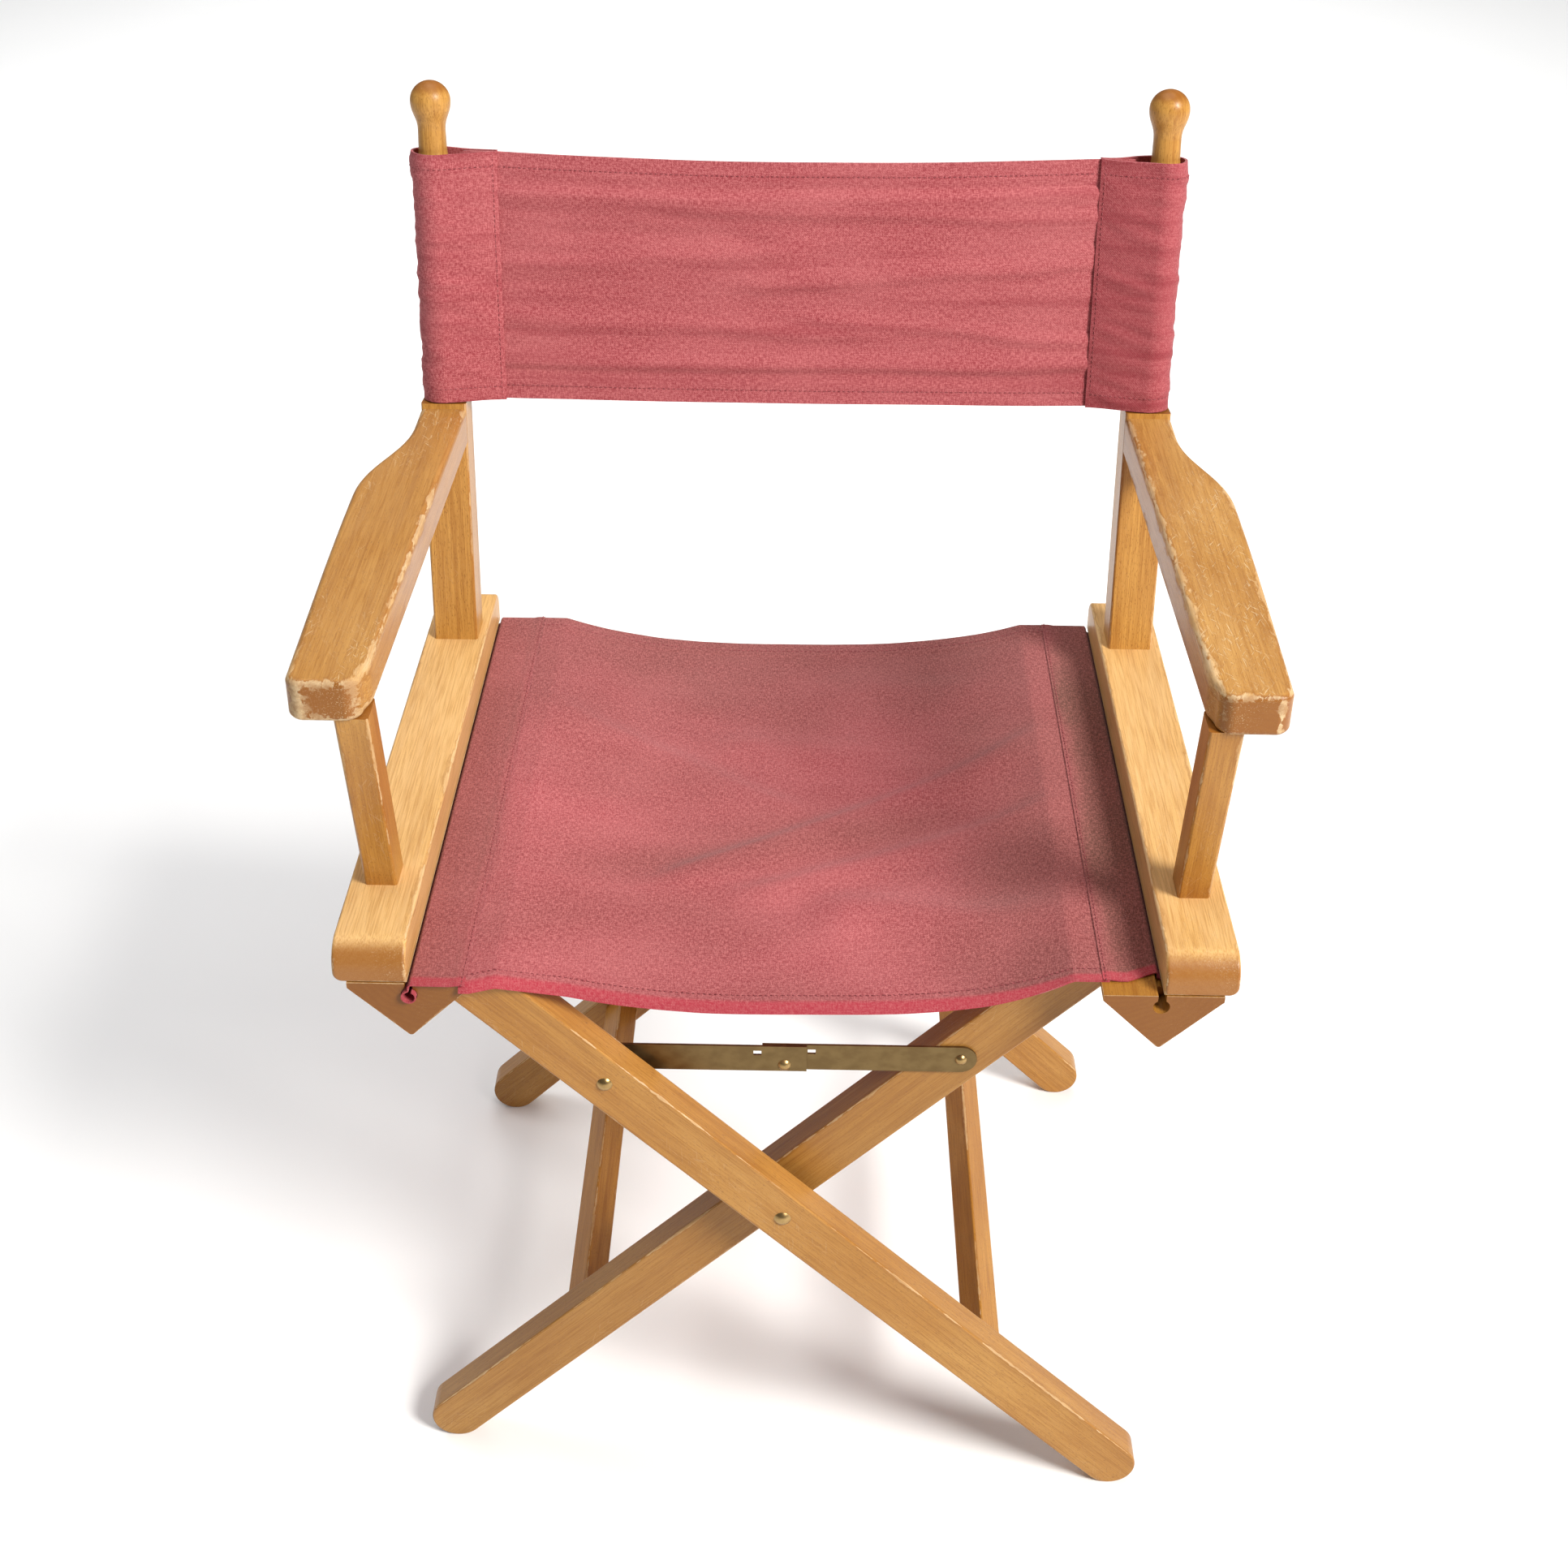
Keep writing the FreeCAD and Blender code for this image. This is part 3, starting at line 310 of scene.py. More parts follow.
def finish_woodwork():
    for side, name in ((-1, "left"), (1, "right")):
        seed = 10 + 7 * side
        box_beech(f"seat_board_{name}", Y, X, wear=0.8, scuffs=0.4, seed=seed, pale=1.0,
                  dull=0.75, pith=(0.10 * side, -0.12))
        box_beech(f"seat_rail_{name}", Y, X, edge=rail_edge, wear=0.45, scuffs=0.1, seed=seed + 1,
                  pith=(0.03 * side, 0.055), tone=0.78)
        box_beech(f"seat_dowel_{name}", Y, X, half=NO_EDGES, wear=0.1, scuffs=0, seed=seed + 2)
        up = Vector((0, math.sin(RAKE), math.cos(RAKE)))
        foot = Vector((side * POST_X, POST_FOOT_Y, BOARD_TOP))
        wear_material(f"back_post_{name}", beech(
            f"back post beech {name}", foot, up, X, BACK_POST_HALF, wear=0.55, pale=0.6,
            scuffs=0.12, seed=seed + 3, pith=(0.06, 0.05)))
        ahead = Vector((-side * math.tan(SPLAY), -math.sin(LEAN), math.cos(LEAN))).normalized()
        level = (X - ahead * ahead.x).normalized()
        post, arm = f"front_post_{name}", f"armrest_{name}"
        wear_material(post, beech(
            f"front post beech {name}", centre_of(post), ahead, level, FRONT_POST_HALF,
            wear=0.7, scuffs=0.25, seed=seed + 4, pith=(0.05, 0.07)))
        wear_material(arm, beech(
            f"armrest beech {name}", centre_of(arm), Y, X, NO_EDGES, wear=1.9, scuffs=1.0,
            dull=0.2, tone=0.92, seed=seed + 5, edge=armrest_edge, pith=(0.02, -0.14)))
    for name, side in (("outer", -1), ("inner", 1)):
        rise = Vector((side * math.cos(LEG_ANGLE), 0, math.sin(LEG_ANGLE)))
        across = Vector((-rise.z, 0, rise.x))
        for place in ("front", "rear"):
            node = f"{name}_leg_{place}"
            centre = Vector((0, centre_of(node).y, PIVOT.z))
            # The inner legs are given a darker tone than the outer ones, as painted shade.
            wear_material(node, beech(
                f"{name} {place} leg beech", centre, rise, across, LEG_HALF, wear=0.6, scuffs=0.2,
                tone=0.93 if side < 0 else 0.78, dull=0.1, pith=(0.03, 0.08),
                seed=side * 3 + corner(node, 0, 1) * 40))
        node = f"{name}_stretcher"
        wear_material(node, beech(
            f"{name} stretcher beech", centre_of(node), Y, rise, STRETCHER_HALF, wear=0.7,
            scuffs=0.15, seed=40 + side, pith=(0.04, 0.06)))


# Armrest plan: share of the length from the front, and how far the outer edge is there, in mm,
# from the inner edge's line. ARM_REACH is what the curve's full height stands for.
ARM_REACH = 60
ARM_TAPER = 6 * MM        # the inner edge moves out by this much from rear to front
ARM_NOTCH = 2.8 * MM      # and by this much more at the very front
ARM_PLAN = ((0.0, 43.0), (0.03, 50.8), (0.2, 53.5), (0.45, 55.5), (0.64, 55.5), (0.72, 52.5),
            (0.80, 43.5), (0.88, 34.5), (0.94, 32.0), (1.0, 32.0))


def armrest_edge(f):
    """Distance to the nearest edge of an armrest, whose outer edge is an S-curve."""
    px, py, pz = f.split(f.add("ShaderNodeTexCoord").outputs["Object"])
    length = corner("armrest_right", 1, 1) - ARM_FRONT
    share = f.calc("DIVIDE", f.calc("SUBTRACT", py, ARM_FRONT), length)
    plan = f.add("ShaderNodeFloatCurve", {1: share})
    curve = plan.mapping.curves[0]
    for at, out in ARM_PLAN[1:-1]:
        curve.points.new(at, out / ARM_REACH)
    curve.points[0].location = (0, ARM_PLAN[0][1] / ARM_REACH)
    curve.points[len(ARM_PLAN) - 1].location = (1, ARM_PLAN[-1][1] / ARM_REACH)
    plan.mapping.update()
    out = f.calc("MULTIPLY", plan.outputs[0], ARM_REACH * MM)
    from_inner = f.calc("SUBTRACT", f.calc("ABSOLUTE", px), ARM_IN)
    splay = f.calc("ADD", f.calc("MULTIPLY", f.calc("SUBTRACT", 1.0, share), ARM_TAPER),
                   f.fade(share, 0.03, 0.07, ARM_NOTCH, 0.0))
    inside = f.calc("SUBTRACT", from_inner, splay)
    outside = f.calc("SUBTRACT", out, from_inner)
    side = f.calc("MINIMUM", inside, outside)
    level = f.calc("MINIMUM", f.calc("SUBTRACT", ARM_TOP, pz), f.calc("SUBTRACT", pz, ARM_LOW))
    end = f.calc("SUBTRACT", py, ARM_FRONT)
    battered = f.fade(end, 25 * MM, 75 * MM, 0.68, 1.0)
    return f.calc("MULTIPLY", middle_of(f, (side, level, end)), battered)


def rail_edge(f):
    """Distance to the nearest edge of a V-shaped rail."""
    px, py, pz = f.split(f.add("ShaderNodeTexCoord").outputs["Object"])
    tip = (RAIL_IN + RAIL_OUT) / 2
    off = f.calc("ABSOLUTE", f.calc("SUBTRACT", f.calc("ABSOLUTE", px), tip))
    flank = f.calc("SUBTRACT", f.calc("SUBTRACT", pz, RAIL_TOP - RAIL_DEPTH), off)
    flank = f.calc("MINIMUM", f.calc("MULTIPLY", flank, 0.7),
                   f.calc("SUBTRACT", RAIL_FLANK_END, off))
    end = f.calc("MINIMUM", f.calc("SUBTRACT", py, FRONT), f.calc("SUBTRACT", REAR, py))
    return middle_of(f, (flank, f.calc("SUBTRACT", RAIL_TOP, pz), end))


# ---- brass ---------------------------------------------------------------------------------
BRASS_BROWN = (0.30, 0.19, 0.075)
BRASS_LIT = (0.42, 0.28, 0.115)
BRASS_RUBBED = (0.72, 0.56, 0.32, 1)
BRUSHED = (60, 1800, 1800)
TARNISH = (90, 120, 120)


def antique_brass(name, centre, along, half, tone=1.0, polish=0.0):
    """Brown brass, brighter where hands and other parts rub it."""
    f = Finish(name)
    local, _ = grain_frame(f, centre, along, along.orthogonal().normalized())
    brushed = f.mottle(local, BRUSHED, 1, 3)
    clouds = f.mottle(local, TARNISH, 2, 3)
    brown, lit = ((*(c * tone for c in shade), 1) for shade in (BRASS_BROWN, BRASS_LIT))
    colour = f.mix(f.fade(clouds, 0.35, 0.7), brown, lit)
    if half:
        reach = arris_distance(f, local, half)
        bright = f.fade(reach, 0.15 * MM, 0.7 * MM, 0.75, 0.0)
        colour = f.mix(bright, colour, BRASS_RUBBED)
    f.shader.inputs["Metallic"].default_value = 0.9
    rough = f.fade(clouds, 0.3, 0.8, 0.34 - polish, 0.52 - polish)
    return f.done(colour, rough, f.relief(brushed, 0.03 * MM, 0.6))


def finish_metalwork():
    fittings = antique_brass("worn brass", Vector(), X, None, 1.1, 0.08)
    for node in nodes:
        if node.startswith(("hinge", "pivot", "armrest_screw", "stay_")):
            wear_material(node, fittings)
    for name in ("left", "right"):
        node = f"stay_strap_{name}"
        wear_material(node, antique_brass(
            f"stay strap brass {name}", centre_of(node), X, STRAP_HALF, 0.5))


# ---- canvas --------------------------------------------------------------------------------
ROSE = (0.43, 0.088, 0.100, 1)
ROSE_DEEP = (0.24, 0.028, 0.038, 1)
ROSE_FADED = (0.60, 0.195, 0.200, 1)
CRIMSON = (0.36, 0.032, 0.050, 1)
# Colours of soiling and of painted shade on the seat.
SHADE_AND_DUST = (0.10, 0.040, 0.028, 1)
SHADE_AND_DUST_PALE = (0.28, 0.105, 0.085, 1)
THREAD_PITCH = 0.85 * MM

# How fine each kind of mottling is along the cloth and up it, in cells a metre.
WEFT, WARP = (330, 1250, 1), (1250, 330, 1)
SLUBS = (14, 420, 1)
FADED_CLOUDS = (14, 20, 1)
SPECKS = (900, 900, 1)
CREASES = (6, 85, 1)
SHADE_AND_DUST_CLOUDS, SHADE_AND_DUST_PATCHES = (11, 11, 1), (4, 9, 1)


def canvas(name, dust_and_shade=None, creased=0.3, painted_shade=0.0, seed=0.0):
    """Faded plain-weave canvas, whose map is in metres.

    creased is how strong the fine creases are, in relief and in the painted shade that makes them
    deeper red, and painted_shade how far the red is deepened as painted shade. dust_and_shade gives
    the shares of soiling and painted shade, and of clean red hem, at a place.
    """
    f = Finish(name)
    weave = f.add("ShaderNodeUVMap", uv_map="weave").outputs[0]
    u, v, _ = f.split(weave)
    turn = math.pi / THREAD_PITCH
    across = f.calc("SINE", f.calc("MULTIPLY", u, turn))
    upward = f.calc("SINE", f.calc("MULTIPLY", v, turn))
    over = f.calc("MULTIPLY", across, upward)
    weft = f.mottle(weave, WEFT, seed, 2, 0.6)
    warp = f.mottle(weave, WARP, seed + 1, 2, 0.6)
    slubs = f.mottle(weave, SLUBS, seed + 2, 2)
    clouds = f.mottle(weave, FADED_CLOUDS, seed + 3, 3)
    specks = f.fade(f.mottle(weave, SPECKS, seed + 4, 1), 0.64, 0.74)

    threads = f.calc("ADD", f.calc("MULTIPLY", weft, 0.5), f.calc("MULTIPLY", warp, 0.5))
    colour = f.mix(f.fade(threads, 0.40, 0.62), ROSE_DEEP, ROSE_FADED)
    colour = f.mix(0.68, ROSE, colour)
    # The low points of the weave are made darker as painted shade.
    colour = f.mix(f.fade(over, -1, 1, 0.16, 0.0), colour, ROSE_DEEP)
    colour = f.mix(f.fade(slubs, 0.52, 0.75, 0, 0.22), colour, ROSE_FADED)
    colour = f.mix(f.fade(clouds, 0.35, 0.72, 0, 0.22), colour, ROSE_FADED)
    # Fine creases, in relief, and deeper red along them as painted shade.
    creases = f.mottle(weave, CREASES, seed + 6, 3, 0.55)
    colour = f.mix(f.fade(creases, 0.50, 0.70, 0, creased), colour, ROSE_DEEP)
    colour = f.mix(f.calc("MULTIPLY", specks, 0.25), colour, ROSE_DEEP)
    # Painted shade: the red deepened in clouds.
    if painted_shade:
        colour = f.mix(f.fade(clouds, 0.25, 0.6, 0.7 * painted_shade, painted_shade), colour, ROSE_DEEP)
    # Soiling and painted shade from the seat's shares, then the clean red hem.
    if dust_and_shade:
        soil_and_shade, hem = dust_and_shade(f, weave)
        dirt_and_shade = f.mix(f.fade(threads, 0.42, 0.64), SHADE_AND_DUST, SHADE_AND_DUST_PALE)
        colour = f.mix(soil_and_shade, colour, dirt_and_shade)
        colour = f.mix(hem, colour, f.mix(f.fade(threads, 0.4, 0.65), CRIMSON, ROSE))
    lift = f.calc("ADD", f.calc("MULTIPLY", over, 0.35), f.calc("MULTIPLY", threads, 0.9))
    puckers = f.relief(creases, 1.6 * creased * MM, 0.9)
    bumps = f.relief(lift, 0.22 * MM, 0.8, puckers)
    f.shader.inputs["Sheen Weight"].default_value = 0.12
    f.shader.inputs["Sheen Roughness"].default_value = 0.5
    f.shader.inputs["Specular IOR Level"].default_value = 0.18
    return f.done(colour, 0.92, bumps)


def seat_dust_and_shade(f, weave):
    """Shares of darkening and of the clean red front hem: painted shade at the right and along a
    diagonal band, soiling and painted shade beside the boards, and darker towards the rear and in
    broad patches.
    """
    x, y, _ = f.split(f.add("ShaderNodeTexCoord").outputs["Object"])
    out = f.calc("ABSOLUTE", x)
    cloud = f.mottle(weave, SHADE_AND_DUST_CLOUDS, 8, 3)
    broad = f.mottle(weave, SHADE_AND_DUST_PATCHES, 9, 2)
    wobble = f.calc("MULTIPLY", f.calc("SUBTRACT", cloud, 0.5), 0.03)
    to_side = f.calc("ADD", out, wobble)
    # Soiling and painted shade on the bands beside the boards, stronger at the right, where the
    # board's shade falls.
    sides = f.fade(to_side, 0.172, 0.202, 0.0, f.fade(x, -0.02, 0.02, 0.5, 0.95))
    # Darker towards the rear.
    rear = f.fade(f.calc("ADD", y, f.calc("MULTIPLY", wobble, 4)), -0.03, REAR, 0.0, 0.62)
    # Painted shade: the seat darker towards the right, where it slopes away from the light.
    right = f.fade(f.calc("ADD", x, f.calc("MULTIPLY", wobble, 3)), 0.02, 0.19, 0.0, 0.62)
    # Painted shade: a soft dark band running diagonally across the middle.
    along = f.calc("ADD", f.calc("MULTIPLY", y, -1.0), f.calc("MULTIPLY", x, 0.28))
    diagonal_shade = f.calc("ABSOLUTE", f.calc("SUBTRACT", f.calc("ADD", along, wobble), 0.045))
    middle = f.calc("MULTIPLY", f.fade(diagonal_shade, 0.0, 0.055, 0.5, 0.0),
                    f.fade(out, 0.06, 0.20, 1.0, 0.4))
    soil_and_shade = f.calc("MAXIMUM", f.calc("MAXIMUM", sides, rear), f.calc("MAXIMUM", right, middle))
    soil_and_shade = f.calc("MULTIPLY", soil_and_shade, f.fade(cloud, 0.2, 0.7, 0.7, 1.0))
    # Darker in broad patches all over.
    soil_and_shade = f.calc("MAXIMUM", soil_and_shade, f.fade(broad, 0.35, 0.75, 0.05, 0.38))
    from_front = f.calc("ADD", f.split(weave)[1], f.calc("MULTIPLY", wobble, 0.1))
    return soil_and_shade, f.fade(from_front, 6 * MM, 9 * MM, 0.9, 0.0)


def sheet_mesh(name, rows, thickness, material, swell=None):
    """A closed sheet of cloth from a grid of middle points, with a map in metres called weave.

    swell gives the extra thickness at a share of the way through the rows.
    """
    count, width = len(rows), len(rows[0])
    normals = grid_normals(rows)
    verts, faces = [], []
    for side in (0.5, -0.5):
        for i, row in enumerate(rows):
            thick = thickness + (swell(i / (count - 1)) if swell else 0.0)
            for j, point in enumerate(row):
                verts.append(point + normals[i][j] * side * thick)
    back = count * width

    def at(i, j):
        return i * width + j

    for i in range(count - 1):
        for j in range(width - 1):
            quad = (at(i, j), at(i, j + 1), at(i + 1, j + 1), at(i + 1, j))
            faces.append(quad)
            faces.append(tuple(back + k for k in reversed(quad)))
    rim = [at(0, j) for j in range(width)] + [at(i, width - 1) for i in range(1, count)]
    rim += [at(count - 1, j) for j in range(width - 2, -1, -1)]
    rim += [at(i, 0) for i in range(count - 2, 0, -1)]
    for k, here in enumerate(rim):
        after = rim[(k + 1) % len(rim)]
        faces.append((after, here, back + here, back + after))
    mesh = bpy.data.meshes.new(name)
    mesh.from_pydata(verts, [], faces)
    mesh.polygons.foreach_set("use_smooth", [True] * len(mesh.polygons))
    lay_weave(mesh, rows, width, back)
    mesh.materials.append(material)
    sharpen_rim(mesh, rim, back)
    piece = bpy.data.objects.new(name, mesh)
    bpy.context.scene.collection.objects.link(piece)
    return piece


def grid_normals(rows):
    """Unit normals at the points of a grid."""
    count, width = len(rows), len(rows[0])
    found = []
    for i in range(count):
        line = []
        for j in range(width):
            along = rows[i][min(j + 1, width - 1)] - rows[i][max(j - 1, 0)]
            up = rows[min(i + 1, count - 1)][j] - rows[max(i - 1, 0)][j]
            line.append(along.cross(up).normalized())
        found.append(line)
    return found


def lay_weave(mesh, rows, width, back):
    """Lays the weave map flat: distances along the middle row and the middle column."""
    middle, centre = rows[len(rows) // 2], width // 2
    across, up = [0.0], [0.0]
    for j in range(1, width):
        across.append(across[-1] + (middle[j] - middle[j - 1]).length)
    for i in range(1, len(rows)):
        up.append(up[-1] + (rows[i][centre] - rows[i - 1][centre]).length)
    layer = mesh.uv_layers.new(name="weave")
    for loop in mesh.loops:
        k = loop.vertex_index % back
        layer.data[loop.index].uv = (across[k % width], up[k // width])


def sharpen_rim(mesh, rim, back):
    """Keeps the cut edges of a sheet crisp."""
    sharp = set()
    for k, here in enumerate(rim):
        after = rim[(k + 1) % len(rim)]
        sharp |= {frozenset((here, after)), frozenset((back + here, back + after))}
    for edge in mesh.edges:
        if frozenset(edge.vertices) in sharp:
            edge.use_edge_sharp = True


def ripple(x, y, seed):
    """Smooth unevenness from about -1 to 1, the same on each run."""
    return noise.noise(Vector((x, y, seed)))


def spread(count):
    """Evenly spaced shares from 0 to 1, count steps long."""
    return [k / count for k in range(count + 1)]


def path_length(path):
    """Length of a path that is given as a function of a step from 0 to 1."""
    return sum((Vector(path(k / 400)) - Vector(path((k + 1) / 400))).length for k in range(400))


# ---- back canvas ---------------------------------------------------------------------------
CLOTH = 1.2 * MM
BACK_LOW = (652.0 * MM - BOARD_TOP) / math.cos(RAKE)     # both are measured along the posts
BACK_HIGH = (823.5 * MM - BOARD_TOP) / math.cos(RAKE)
SEAM = POST_X - 41.3 * MM     # where the sleeves are sewn to the panel
PANEL_END = 226 * MM          # end of the panel, inside a sleeve
HEM = 15 * MM
HEM_EXTRA = 0.9 * MM
HEM_STEP = 1.5 * MM
SEAM_CLEAR = 1.9 * MM         # from the panel's middle to a sleeve's, at the seam


def by_posts(x, depth, up):
    """A point in the plane of the back posts: depth goes to the rear, up along the posts."""
    return Vector((x, POST_FOOT_Y + depth * math.cos(RAKE) + up * math.sin(RAKE),
                   BOARD_TOP + up * math.cos(RAKE) - depth * math.sin(RAKE)))


# Long folds across the back: x and share of the height at both ends, widths in mm under and above
# the crest, height in mm.
BACK_FOLDS = (
    ((-0.195, 0.845), (0.190, 0.872), 9, 3, -1.5),
    ((-0.060, 0.800), (0.195, 0.770), 4, 6, -0.9),
    ((-0.190, 0.560), (-0.020, 0.640), 8, 4, -1.1),
    ((-0.020, 0.500), (0.185, 0.585), 5, 9, -1.2),
    ((-0.185, 0.330), (0.040, 0.300), 5, 8, -1.0),
    ((0.020, 0.360), (0.190, 0.270), 4, 7, -0.9),
    ((-0.190, 0.150), (0.190, 0.165), 3, 8, -1.3),
    ((-0.150, 0.700), (-0.040, 0.690), 6, 6, 0.8))


def fold_height(folds, x, y, waver):
    """Sum of long folds at a place. Each runs between two points and fades past its ends."""
    total = 0.0
    for (ax, ay), (bx, by), under, over, high in folds:
        length = math.hypot(bx - ax, by - ay)
        cx, cy = (bx - ax) / length, (by - ay) / length
        along = ((x - ax) * cx + (y - ay) * cy) / length
        off = (y - ay) * cx - (x - ax) * cy + waver * ripple(along * 3, high, 1)
        past = max(0.0, -along, along - 1) * length
        wide = (over if off > 0 else under) * MM
        total += high * MM * math.exp(-(off / wide) ** 2 - (past / 0.025) ** 2)
    return total


def back_folds(x, share):
    """How far the back canvas stands to the rear at x and a share of its height."""
    tall = BACK_HIGH - BACK_LOW
    folds = [((ax, ay * tall), (bx, by * tall), under, over, high)
             for (ax, ay), (bx, by), under, over, high in BACK_FOLDS]
    near_seam = math.exp(-((abs(x) - SEAM) / 0.035) ** 2)
    long_folds = 1.1 * MM * ripple(x * 5, share * 7 + x * 2, 3.3)
    fine = 0.4 * MM * ripple(x * 14, share * 24 + x * 6, 8.1) * (0.5 + near_seam)
    tucks = 0.5 * MM * near_seam * ripple(x * 6, share * 42, 4.7)
    return long_folds + fine + tucks + 1.9 * fold_height(folds, x, share * tall, 3 * MM)


def back_dip(x, share):
    """The panel's edges hang a little between the posts."""
    bow = max(0.0, 1 - (x / SEAM) ** 2)
    return -bow * (1.5 + 3.5 * share) * MM + 0.5 * MM * ripple(x * 9, share * 2, 6)


def hem_swell(length, strength=1.0):
    """Extra thickness of the doubled cloth along the first and last edge of a sheet."""
    def swell(share):
        gap = min(share, 1 - share) * length
        return strength * (HEM_EXTRA * (1 - min(1.0, max(0.0, (gap - HEM) / HEM_STEP))))
    return swell


def back_height(share):
    """Place along the posts at a share of the canvas's height."""
    return BACK_LOW + (BACK_HIGH - BACK_LOW) * share


def back_panel_point(x, share, lift=0.0):
    """A point of the back panel's middle, or lifted to the front of it."""
    up = back_height(share) + back_dip(x, share)
    return by_posts(x, back_folds(x, share) - lift, up)


def build_back_panel():
    rows = [[back_panel_point(-PANEL_END + 2 * PANEL_END * j / 180, s) for j in range(181)]
            for s in spread(84)]
    return sheet_mesh("back_canvas_panel", rows, CLOTH, canvas("back canvas", seed=1.0),
                      hem_swell(BACK_HIGH - BACK_LOW))


def sleeve_path(step):
    """(x, depth) along a right-hand sleeve, from its sewn edge in front, round the post, to its
    rear end. step goes from 0 to 1."""
    radius = POST_R + 0.5 * MM + CLOTH / 2
    reach = POST_X - SEAM
    lean = math.acos(radius / reach)
    run = reach * math.sin(lean)
    arc = radius * 2 * (math.pi - lean)
    total = 2 * run + arc
    at = step * total
    touch_x, touch_d = POST_X - radius * math.cos(lean), radius * math.sin(lean)
    start = SEAM - 1.5 * MM
    if at < run:
        share = at / run
        return start + (touch_x - start) * share, -SEAM_CLEAR - (touch_d - SEAM_CLEAR) * share
    if at > run + arc:
        share = (at - run - arc) / run
        return touch_x + (start - touch_x) * share, touch_d - (touch_d - SEAM_CLEAR) * share
    angle = lean - math.pi + (at - run) / radius
    return POST_X + radius * math.cos(angle), radius * math.sin(angle)


def sleeve_point(side, step, share, lift=0.0):
    """A point of a sleeve's middle, wrinkled away from its path and flat at both sewn edges."""
    x, depth = sleeve_path(step)
    x2, depth2 = sleeve_path(min(1, step + 0.002))
    x1, depth1 = sleeve_path(max(0, step - 0.002))
    out = Vector((depth2 - depth1, -(x2 - x1))).normalized()
    seed = 20 + side * 5
    crease = ripple(step * 3.0, share * 17 + step * 2.5 * side, seed)
    fine = ripple(step * 5, share * 38 + step * 4, seed + 3)
    proud = 0.6 * MM + 1.9 * MM * max(0, crease) ** 0.8 + 0.8 * MM * fine
    edge = math.exp(-min(step, 1 - step) / 0.05)
    proud = proud * (1 - edge) + 0.2 * MM * edge + lift
    top_slack = 0.8 * MM * ripple(step * 5, share * 3, seed + 6)
    up = back_height(share) + top_slack * (0.4 + share) + 1.2 * MM * edge * (share - 0.5)
    return by_posts(side * (x + out.x * proud), depth + out.y * proud, up)


def build_sleeve(side, name):
    steps = spread(110)[::side]
    rows = [[sleeve_point(side, step, share) for step in steps] for share in spread(76)]
    # The right sleeve's red is deepened as painted shade.
    cloth = canvas(f"sleeve canvas {name}", creased=0.6, painted_shade=max(0.0, 0.4 * side),
                   seed=5.0 + side)
    return sheet_mesh(f"back_canvas_sleeve_{name}", rows, CLOTH, cloth,
                      hem_swell(BACK_HIGH - BACK_LOW, 0.6))


# ---- seat canvas ---------------------------------------------------------------------------
SEAT_FRONT = FRONT + 12 * MM
SEAT_REAR = REAR - 2 * MM
LEDGE = 173 * MM          # the cloth hangs between these lines and is flat outside them
PANEL_OUT = 194 * MM      # side edges of the panel, sewn to the bands
BAND_IN = 190 * MM        # inner edges of the bands
SEAT_CLOTH = 1.0 * MM
BAND_CLOTH = 0.85 * MM
SEAT_Z = RAIL_TOP + 0.35 * MM + SEAT_CLOTH / 2
HEM_ROLL = 5.0 * MM       # how far the front hem rolls down, and over what depth
SEAT_PULL = 15 * MM       # how far the front edge is drawn forward at the left rail
BAND_SHY = 9 * MM         # how far the right band is drawn back from the front at its dowel
LOOP_R = 4.2 * MM         # cloth round a dowel


def seat_drop(x, share):
    """How far the seat hangs under its ledges. share is 0 in front and 1 at the rear."""
    sag = (25.0 - 5.5 * share) * MM
    out = min(1.0, abs(x) / LEDGE)
    return sag * (1 - out ** 3)


# Soft folds across the seat: two ends of a crest, its width to the front and to the rear, height.
SEAT_FOLDS = (
    ((-0.062, -0.074), (0.156, 0.056), 22, 9, 3.2),
    ((-0.012, -0.088), (0.165, -0.024), 14, 9, 2.4),
    ((-0.150, 0.088), (-0.010, 0.000), 26, 12, 2.6),
    ((0.040, -0.112), (0.195, -0.142), 30, 20, 4.0),
    ((-0.030, 0.072), (0.030, 0.070), 20, 16, 1.6),
    ((0.050, 0.150), (0.120, 0.140), 30, 20, 1.8))


def seat_folds(x, y):
    """Soft diagonal folds and small unevenness, upwards."""
    room = max(0.0, 1 - (abs(x) / 0.188) ** 6)
    folds = 1.5 * fold_height(SEAT_FOLDS, x, y, 5 * MM)
    waves = 0.9 * MM * ripple(x * 11, y * 11, 2.2)
    return room * (folds + waves + 0.25 * MM * ripple(x * 45, y * 45, 5))


def seat_edge(x, front):
    """Front or rear edge of the seat canvas, which is drawn forward at the left rail."""
    if not front:
        bow = 1.5 * MM * max(0.0, 1 - (x / 0.19) ** 2)
        return SEAT_REAR - bow + 0.5 * MM * ripple(x * 14, 3, 3)
    pulled = max(0.0, (-x - 0.130) / 0.058)
    return SEAT_FRONT - SEAT_PULL * min(1.0, pulled) ** 1.4 + 0.5 * MM * ripple(x * 14, 1, 3)


def seat_point(x, share, lift=0.0):
    """A point of the seat panel's middle, or lifted over it."""
    y0, y1 = seat_edge(x, True), seat_edge(x, False)
    y = y0 + (y1 - y0) * share
    before = max(0.0, 1 - (y - y0) / HEM_ROLL)
    free = 1.0 if x < 0 else max(0.0, 1 - (x / 0.17) ** 8)
    roll = HEM_ROLL * before ** 2 * free
    return Vector((x, y, SEAT_Z - seat_drop(x, share) + seat_folds(x, y) - roll + lift))


